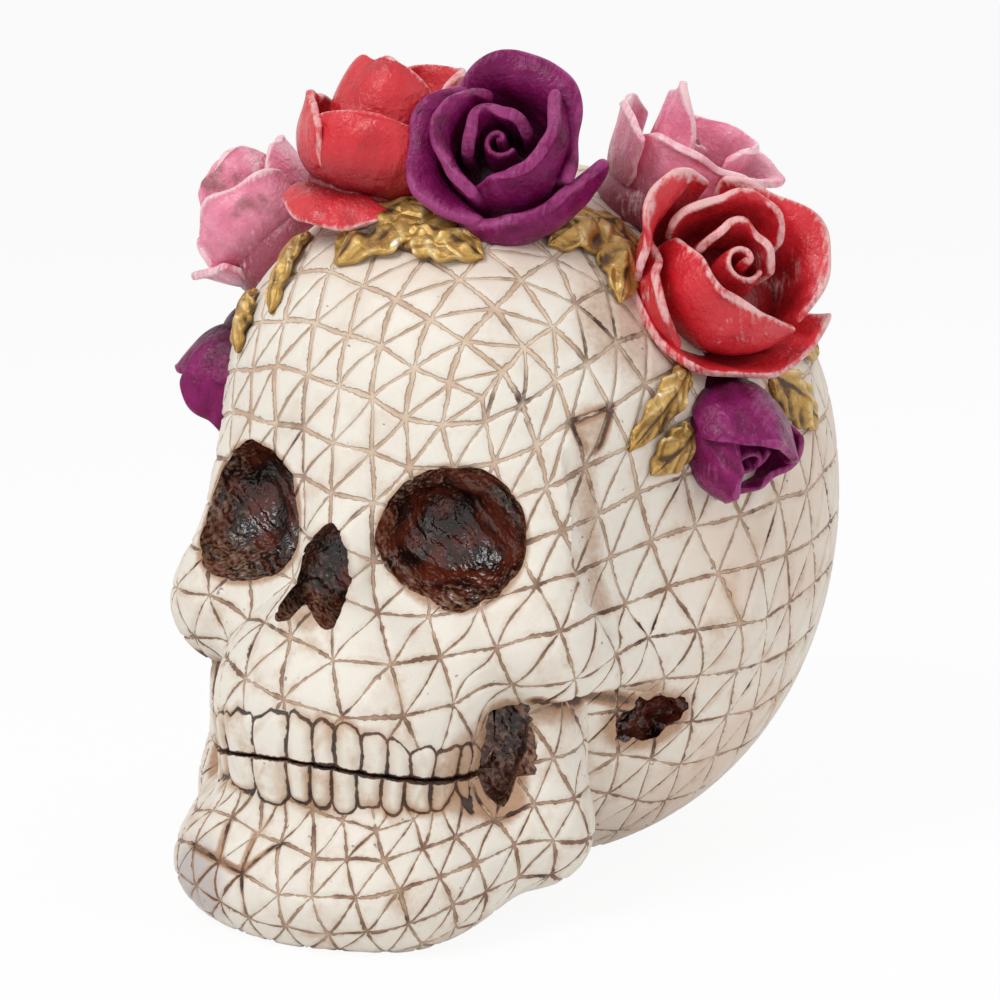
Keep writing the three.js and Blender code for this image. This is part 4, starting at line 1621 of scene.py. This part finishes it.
@dataclass(frozen=True)
class Scroll:
    """The rolled heart of a rose on its cup."""

    radius: float
    tall: float
    turns: float = 1.9

    STEPS_ROUND = 52
    STEPS_UP = 8
    WALL = 1.1
    CUP_DEPTH = 7.0
    CUP_STEPS = 32
    # Where the cup takes the petal paint: near the foot, in painted shade.
    CUP_SHADE_UV = (0.5, 0.1)
    INNER = 0.2
    GROWTH = 1.25
    SLIM = 0.75
    SWELL = 0.35
    SWELL_START = 0.25
    SWELL_RUN = 0.6
    RISE = 1.1
    FALL = 0.16

    def mesh(self, cup_radius: float, start: float) -> bmesh.types.BMesh:
        """Rolls a sheet into a spiral and sets it on a round cup that closes the rose below, painted in the
        foot's shade so that it reads as shade between the petals.

        Args:
            cup_radius: radius of the cup.
            start: angle at which the spiral starts.

        Returns:
            The heart in the rose's own frame.
        """
        bm = bmesh.new()
        layer = bm.loops.layers.uv.new("petal")
        sheet = bmesh.ops.create_grid(
            bm, x_segments=self.STEPS_ROUND, y_segments=self.STEPS_UP, size=1.0, calc_uvs=True
        )["verts"]
        for vertex in sheet:
            round_share = (vertex.co.x + 1.0) / 2.0
            up = (vertex.co.y + 1.0) / 2.0
            angle = math.radians(start) + round_share * self.turns * 2.0 * math.pi
            bulge = math.sin(math.pi * (self.SWELL_START + self.SWELL_RUN * up))
            swell = self.SLIM + self.SWELL * bulge
            radius = self.radius * (self.INNER + self.GROWTH * round_share) * swell
            height = up * self.tall * (self.RISE - self.FALL * round_share)
            vertex.co = (radius * math.cos(angle), radius * math.sin(angle), height)
        bmesh.ops.recalc_face_normals(bm, faces=bm.faces[:])
        bmesh.ops.solidify(bm, geom=bm.faces[:], thickness=self.WALL)
        steps = self.CUP_STEPS
        cup = bmesh.ops.create_uvsphere(bm, u_segments=steps, v_segments=steps // 2, radius=1.0)["verts"]
        bmesh.ops.scale(bm, vec=(cup_radius, cup_radius, self.CUP_DEPTH), verts=cup)
        for face in {f for v in cup for f in v.link_faces}:
            for loop in face.loops:
                loop[layer].uv = self.CUP_SHADE_UV
        return bm


@dataclass
class Rose:
    """A rose or bud: a rolled heart and its petals, seated on the skull and looking along its facing."""

    name: str
    slot: Slot
    seat: Bearing
    stand: float
    facing: Bearing
    heart: Scroll
    petals: tuple[Petal, ...]
    wall: float = 1.5

    CUP_MORE = 1.5
    CUP_SHARE = 0.75
    HEART_TURN = 120.0
    PHASE_STEP = 1.7

    def matrix(self) -> Matrix:
        """Frame of the rose: local Z looks along the facing and local Y is as upright as it can be.

        Returns:
            The matrix from the rose's own frame to the skull's.
        """
        outward = bearing(self.seat)
        ahead = bearing(self.facing)
        across = Vector((0.0, 0.0, 1.0)).cross(ahead).normalized()
        turn = Matrix((across, ahead.cross(across), ahead)).transposed().to_4x4()
        return Matrix.Translation(CRANIUM.at(outward) + outward * self.stand) @ turn

    def build(self, paint: bpy.types.Material) -> None:
        """Builds and dresses the heart and each petal.

        Args:
            paint: the petals' paint.
        """
        frame_matrix = self.matrix()
        layers = max(p.layer for p in self.petals if p.tall > 0.0)
        cup = max(
            self.heart.radius + Petal.FOOT + layers * (Petal.FOOT + Petal.GAP) + self.CUP_MORE,
            self.CUP_SHARE * min(p.belly for p in self.petals if p.layer == layers),
        )
        bm = self.heart.mesh(cup, self.petals[0].turn + self.HEART_TURN)
        bmesh.ops.transform(bm, matrix=frame_matrix, verts=bm.verts[:])
        made = new_object(f"{self.name}_heart", bm, paint)
        subdivide(made, 1)
        dress(made, self.slot, f"{self.name}_core")
        for index, petal in enumerate(self.petals):
            bm = petal.mesh(self.heart.radius, self.PHASE_STEP * index)
            bmesh.ops.transform(bm, matrix=frame_matrix, verts=bm.verts[:])
            made = new_object(f"{self.name}_{petal.name}_petal", bm, paint)
            thicken(made, self.wall, 0.0)
            subdivide(made, 2)
            dress(made, self.slot, f"{self.name}_{petal.name}")


@dataclass(frozen=True)
class Leaf:
    """A leaf that lies on the skull from the bearing of its stalk to that of its tip."""

    name: str
    stalk: Bearing
    tip: Bearing
    wide: float
    rib: float

    STEPS_ACROSS = 14
    STEPS_ALONG = 26
    WALL = 1.0
    LIFT = 1.0
    STALK_SHARE = 0.2
    VEINS = 4.0
    VEIN = 0.3
    VEIN_LEAN = 1.3
    TEETH = 0.07
    TIP_LOSS = 0.8
    EDGE_RISE = 0.8
    FOLD = 0.9
    FOLD_SIZE = 9.0
    FOLD_LEVEL = 0.6
    CREASE = 0.55
    CREASE_SIZE = 4.2
    CREASE_LEVEL = 0.5
    CREASE_SEED = 5
    RIB_WIDTH = 0.12
    RIB_DARK = 0.5
    VEIN_DARK = 0.22
    CRUMPLE_DARK = 0.45

    def shape(self, flat: np.ndarray) -> tuple[np.ndarray, np.ndarray, np.ndarray]:
        """Lays a grid on the skull as the leaf, with its mid-rib, side veins, creases and toothed edge.

        Args:
            flat: the grid's places, from -1 to 1 both ways.

        Returns:
            For each place where it goes, the way out of the skull and its level, low in the veins.
        """
        core = np.array(CRANIUM.core)
        start = np.array(CRANIUM.at(bearing(self.stalk)))
        span = np.array(CRANIUM.at(bearing(self.tip))) - start
        sideways = np.cross(start - core, span)
        sideways /= np.linalg.norm(sideways)
        across, along = flat[:, 0], (flat[:, 1] + 1.0) / 2.0
        swell = np.sin(math.pi * along**0.9) ** 0.7
        phase = self.VEINS * along - self.VEIN_LEAN * np.abs(across)
        teeth = 1.0 + self.TEETH * np.abs(across) ** 3 * np.sin(2.0 * math.pi * phase)
        body = self.wide / 2.0 * (self.STALK_SHARE + (1.0 - self.STALK_SHARE) * swell)
        half = body * teeth * (1.0 - along**6 * self.TIP_LOSS)
        spot = start + along[:, None] * span + (across * half)[:, None] * sideways
        aim = spot - core
        aim /= np.linalg.norm(aim, axis=1, keepdims=True)
        ground = CRANIUM.shoot(np.tile(core, (len(aim), 1)), aim)
        folds = self.FOLD_LEVEL - np.abs(ripple(ground, self.FOLD_SIZE, len(self.name))[:, 0])
        creases = self.CREASE_LEVEL - np.abs(ripple(ground, self.CREASE_SIZE, self.CREASE_SEED)[:, 1])
        crumple = (folds * self.FOLD + creases * self.CREASE) * swell
        veins = np.cos(2.0 * math.pi * phase) * self.VEIN * np.minimum(1.0, 3.0 * np.abs(across)) * swell
        cup = (self.rib * (1.0 - np.abs(across)) + self.EDGE_RISE * across**2) * swell
        height = self.LIFT + cup + veins + crumple
        rib = np.exp(-((across / self.RIB_WIDTH) ** 2)) * self.RIB_DARK
        # The level steers the gilding: painted highlight where it is high, brown in the veins where it is
        # low.
        level = 0.5 + veins / self.VEIN * self.VEIN_DARK - rib + crumple * self.CRUMPLE_DARK
        return ground + aim * height[:, None], aim, level

    def build(self, paint: bpy.types.Material) -> None:
        """Builds and dresses the leaf.

        Args:
            paint: the gilding.
        """
        bm = bmesh.new()
        relief = bm.verts.layers.float.new("relief")
        bmesh.ops.create_grid(bm, x_segments=self.STEPS_ACROSS, y_segments=self.STEPS_ALONG, size=1.0)
        places, aim, level = self.shape(coordinates(bm))
        move_points(bm, places)
        for vertex, ridge in zip(bm.verts, level):
            vertex[relief] = ridge
        bmesh.ops.recalc_face_normals(bm, faces=bm.faces[:])
        if bm.faces[0].normal.dot(Vector(aim[0])) < 0.0:
            bmesh.ops.reverse_faces(bm, faces=bm.faces[:])
        made = new_object(f"{self.name}_gilded", bm, paint)
        thicken(made, self.WALL, -1.0)
        subdivide(made, 1)
        dress(made, Slot.GOLD, self.name)


# Each paint's foot is painted shade; its streak colour is partly painted sheen, which carries the purple's
# gloss.
PURPLE_PAINT = PetalPaint(
    "purple_acrylic_on_resin",
    body="#690f44",
    streak_and_sheen="#8a1d63",
    foot="#240512",
    rim="#b0508a",
    smudge="#480a2a",
    rim_share=0.55,
    rim_reach=0.6,
    smudge_share=0.6,
    roughness=0.27,
    shine=0.17,
)
RED_PAINT = PetalPaint(
    "red_acrylic_on_resin",
    body="#cb202b",
    streak_and_sheen="#d8353e",
    foot="#6e0a12",
    rim="#eec3c1",
    smudge="#a8282f",
    rim_share=0.85,
    rim_reach=0.65,
    smudge_share=0.5,
)
PINK_PAINT = PetalPaint(
    "pink_acrylic_on_resin",
    body="#e7809d",
    streak_and_sheen="#f09cb4",
    foot="#8e3448",
    rim="#f5d2d6",
    smudge="#94585a",
    rim_share=0.85,
    rim_reach=0.65,
    smudge_share=0.8,
)

ROSES = (
    Rose(
        "crown_rose",
        Slot.PURPLE,
        seat=(45, 74),
        stand=4,
        facing=(22, 30),
        heart=Scroll(2.5, 13, turns=1.3),
        petals=(
            Petal("inner_top", 110, 100, 0, 5.2, 3.8, 17, 0.5, wave=0.4),
            Petal("inner_right", 322, 80, 1, 12, 6.5, 18, 1.8, slant=2.5, shoulder=0.25),
            Petal("inner_left", 178, 78, 1, 9, 8.6, 17, 1.2, curl=105, roll=0.4, shoulder=0.2),
            Petal(
                "outer_left", 190, 72, 2, 11.5, 11.5, 13.5, 0.8, curl=120, wave=0.8, roll=1.1, shoulder=0.15
            ),
            Petal("outer_top", 52, 84, 2, 11, 10.5, 13, 0.8, curl=115, wave=1.0, roll=1.7, shoulder=0.14),
            Petal("lower_lip", 300, 55, 2, 17, 12, 14, 1.5, shoulder=0.25),
        ),
        wall=2.2,
    ),
    Rose(
        "right_red_rose",
        Slot.RED,
        seat=(99, 44),
        stand=1,
        facing=(52, 28),
        heart=Scroll(3.2, 15, turns=1.4),
        petals=(
            Petal("inner_top", 70, 85, 0, 6.5, 5, 17, 0.6),
            Petal("inner_front", 230, 80, 1, 15, 6, 18, 1.4, point=1.5, slant=-1.0),
            Petal("back_top", 82, 62, 1, 11, 11, 18, 1.2),
            Petal("folded", 138, 42, 2, 16, 17, 18, 0.8, point=2, curl=100, roll=0.8),
            Petal("side_left", 190, 38, 2, 16.5, 15, 15, 1.5),
            Petal("outer_right", 20, 62, 2, 15, 17, 14, 0.8, curl=90, roll=0.8, shoulder=0.22),
            Petal("lower_lip", 258, 80, 2, 16.5, 23, 10.5, 1, curl=30, wave=0.9, shoulder=0.16),
        ),
    ),
    Rose(
        "left_red_rose",
        Slot.RED,
        seat=(-33, 70),
        stand=1,
        facing=(119, 78),
        heart=Scroll(3.2, 18),
        petals=(
            Petal("top_fold", 150, 85, 0, 11, 4.5, 24, 0.8),
            Petal("top_back", 300, 80, 0, 12, 11, 24, 0.8),
            Petal("front", 178, 60, 1, 16, 12, 15.5, 1),
            Petal("side", 85, 55, 1, 15, 12, 16, 1.2),
            Petal("back", 315, 66, 1, 15, 16, 20, 1.2),
            Petal("lower_lip", 150, 46, 2, 15, 19, -7, 0.5),
        ),
    ),
    Rose(
        "right_pink_rose",
        Slot.PINK,
        seat=(120, 59),
        stand=1,
        facing=(100, 62),
        heart=Scroll(3.2, 13),
        petals=(
            Petal("pointed", 135, 60, 0, 7, 8, 18, 0.6, point=6),
            Petal("inner_right", 315, 80, 0, 9, 9.5, 18, 0.6, shoulder=0.22),
            Petal("front", 199, 62, 1, 11.5, 12, 15, 1, curl=80, shoulder=0.2),
            Petal("left", 110, 52, 1, 13.5, 15, 16, 1.2, shoulder=0.22),
            Petal("right", 300, 62, 1, 12.5, 16, 16, 1.2, curl=85, roll=0.8, shoulder=0.2),
            Petal("lower_lip", 250, 42, 2, 14, 19, 9, 0.5),
        ),
    ),
    Rose(
        "right_bud",
        Slot.PURPLE,
        seat=(92, 26),
        stand=-3.8,
        facing=(60, -38),
        heart=Scroll(3.4, 14, turns=1.5),
        petals=(
            Petal("upper", 75, 85, 0, 9.5, 6, 17.5, 0.8, slant=-1.5),
            Petal("left", 195, 62, 0, 10, 4.5, 18.5, 1.6, point=2),
            Petal("lower", 305, 68, 0, 10, 6, 15.5, 1.6, slant=1.0),
        ),
    ),
    Rose(
        "left_pink_rose",
        Slot.PINK,
        seat=(-70, 54),
        stand=1,
        facing=(-72, 45),
        heart=Scroll(3, 15),
        petals=(
            Petal("inner_front", 25, 88, 0, 7, 5, 19, 0.6),
            Petal("inner_back", 205, 80, 0, 7, 6, 20, 0.6),
            Petal("front", 350, 60, 1, 12.5, 10, 13, 1, point=2.5, slant=1.5),
            Petal("upper", 100, 62, 1, 12, 11, 16, 1, slant=1.0),
            Petal("left_lip", 225, 50, 1, 12, 15, 13, 1, point=2),
            Petal("lower_lip", 276, 50, 2, 13, 18, 8, 0.5, point=2),
        ),
    ),
    Rose(
        "left_bud",
        Slot.PURPLE,
        seat=(-60, 38),
        stand=-4.5,
        facing=(-42, -60),
        heart=Scroll(3, 14),
        petals=(
            Petal("upper", 80, 70, 0, 9, 9, 12, 0.8),
            Petal("left", 170, 78, 0, 9.5, 3.0, 17, 1.5, slant=1.0),
            Petal("right", 358, 78, 0, 9.5, 3.5, 18, 1.5),
        ),
    ),
)

LEAVES = (
    Leaf("front_leaf_left", (8, 69), (-12, 52), 17, 2),
    Leaf("front_leaf_middle", (5, 61), (31, 55), 11, 1.5),
    Leaf("brow_leaf", (-40, 58), (-28, 42), 6, 1),
    Leaf("temple_leaf_left", (-47, 45), (-38, 34), 7, 1.5),
    Leaf("front_leaf_right", (92, 62), (51, 58), 11, 2),
    Leaf("front_leaf_lower", (88, 61), (66, 46), 10, 2),
    Leaf("temple_leaf_slender", (80, 33), (62, 20), 6, 1.5),
    Leaf("temple_leaf_folded", (79, 22), (68, 15), 7, 2),
    Leaf("side_leaf_upper", (112, 34), (128, 23), 10, 1.5),
    Leaf("side_leaf_lower", (104, 26), (114, 14), 9, 1.5),
    Leaf("back_leaf_right", (131, 57), (150, 45), 11, 2),
    Leaf("back_leaf_middle", (-95, 80), (-152, 67), 11, 2),
    Leaf("back_leaf_left", (-89, 53), (-112, 43), 11, 2),
)


@dataclass
class Garland:
    """The roses, buds and leaves round the crown."""

    roses: tuple[Rose, ...] = ROSES
    leaves: tuple[Leaf, ...] = LEAVES

    def build(self) -> None:
        """Builds every rose in its paint, then the leaves."""
        paints = {
            Slot.PURPLE: PURPLE_PAINT.material(),
            Slot.RED: RED_PAINT.material(),
            Slot.PINK: PINK_PAINT.material(),
        }
        for rose in self.roses:
            rose.build(paints[rose.slot])
        gilt = GiltPaint().material()
        for leaf in self.leaves:
            leaf.build(gilt)


@dataclass(frozen=True)
class Lamp:
    """A soft square studio lamp that looks at the skull."""

    name: str
    towards: Bearing
    distance: float
    size: float
    watts: float


@dataclass
class Studio:
    """Camera at the photograph's angle, soft lamps, white surroundings and a pale floor."""

    target: Point = (1.0, 6.0, 62.4)
    view: Bearing = (29.0, 11.0)
    distance: float = 540.0
    focal_pixels: float = 3000.0
    image_pixels: float = 1000.0
    sensor: float = 36.0
    floor_half: float = 20000.0
    white: str = "#ffffff"
    floor_paint: str = "#fdfdfd"
    world_strength: float = 0.42
    floor_glow: float = 0.92
    lamps: tuple[Lamp, ...] = (
        Lamp("key", (-15.0, 45.0), 700.0, 300.0, 2.35),
        Lamp("fill", (75.0, 25.0), 800.0, 600.0, 1.3),
        Lamp("back", (170.0, 50.0), 800.0, 500.0, 1.3),
    )

    def build(self) -> None:
        """Sets the view, the lamps, the world and the floor."""
        self.camera()
        for lamp in self.lamps:
            self.light(lamp)
        self.world()
        self.floor()
        bpy.context.scene.view_settings.view_transform = "Standard"

    def hang(self, name: str, data: bpy.types.ID, towards: Bearing, distance: float) -> bpy.types.Object:
        """Places a camera or lamp so that it looks at the target.

        Args:
            name: name of the object.
            data: the camera or lamp.
            towards: where it stands, as seen from the target.
            distance: how far from the target it stands.

        Returns:
            The linked object.
        """
        made = bpy.data.objects.new(name, data)
        aim = bearing(towards)
        made.location = (Vector(self.target) + aim * distance) * MM
        made.rotation_mode = "QUATERNION"
        made.rotation_quaternion = (-aim).to_track_quat("-Z", "Y")
        bpy.context.scene.collection.objects.link(made)
        return made

    def camera(self) -> None:
        """Places the camera so that the picture's frame is the photograph's."""
        data = bpy.data.cameras.new("camera")
        data.sensor_width = self.sensor
        data.lens = self.sensor * self.focal_pixels / self.image_pixels
        bpy.context.scene.camera = self.hang("camera", data, self.view, self.distance)

    def light(self, lamp: Lamp) -> None:
        """Hangs one lamp.

        Args:
            lamp: the lamp.
        """
        data = bpy.data.lights.new(lamp.name, "AREA")
        data.energy = lamp.watts
        data.size = lamp.size * MM
        self.hang(lamp.name, data, lamp.towards, lamp.distance)

    def seen(self, nodes: Nodes) -> Socket:
        """1 where the camera looks straight at something or sees it in a reflection, else 0."""
        path = add_node(nodes.tree, "ShaderNodeLightPath").outputs
        return nodes.math("MAXIMUM", path["Is Camera Ray"], path["Is Glossy Ray"])

    def world(self) -> None:
        """White surroundings: full white to the camera and in reflections, softer as light."""
        world = bpy.data.worlds.new("studio")
        world.use_nodes = True
        nodes = Nodes(world.node_tree)
        nodes.tree.nodes.clear()
        strength = nodes.remap(self.seen(nodes), 0.0, 1.0, self.world_strength, 1.0)
        links = {"Color": linear(self.white), "Strength": strength}
        light = add_node(nodes.tree, "ShaderNodeBackground", links)
        add_node(nodes.tree, "ShaderNodeOutputWorld", {"Surface": light.outputs[0]})
        bpy.context.scene.world = world

    def floor(self) -> None:
        """A wide pale floor that takes the skull's shadow."""
        made, nodes = new_material("matt_white_floor")
        share = nodes.math("MULTIPLY", self.seen(nodes), self.floor_glow)
        matt = add_node(nodes.tree, "ShaderNodeBsdfDiffuse", {"Color": linear(self.floor_paint)}).outputs[0]
        light = {"Color": linear(self.white), "Strength": 1.0}
        glow = add_node(nodes.tree, "ShaderNodeEmission", light).outputs[0]
        shader = add_node(nodes.tree, "ShaderNodeMixShader", {0: share, 1: matt, 2: glow})
        add_node(nodes.tree, "ShaderNodeOutputMaterial", {"Surface": shader.outputs[0]})
        bm = bmesh.new()
        bmesh.ops.create_grid(bm, x_segments=1, y_segments=1, size=self.floor_half)
        plate = new_object("floor", bm, made)


def main() -> None:
    """Builds the studio, the skull and its garland."""
    logging.basicConfig(level=logging.INFO, format="%(message)s")
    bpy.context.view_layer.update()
    Studio().build()
    Skull(CastBone().material(), SocketGlaze().material()).build()
    Garland().build()


if __name__ == "__main__":
    main()
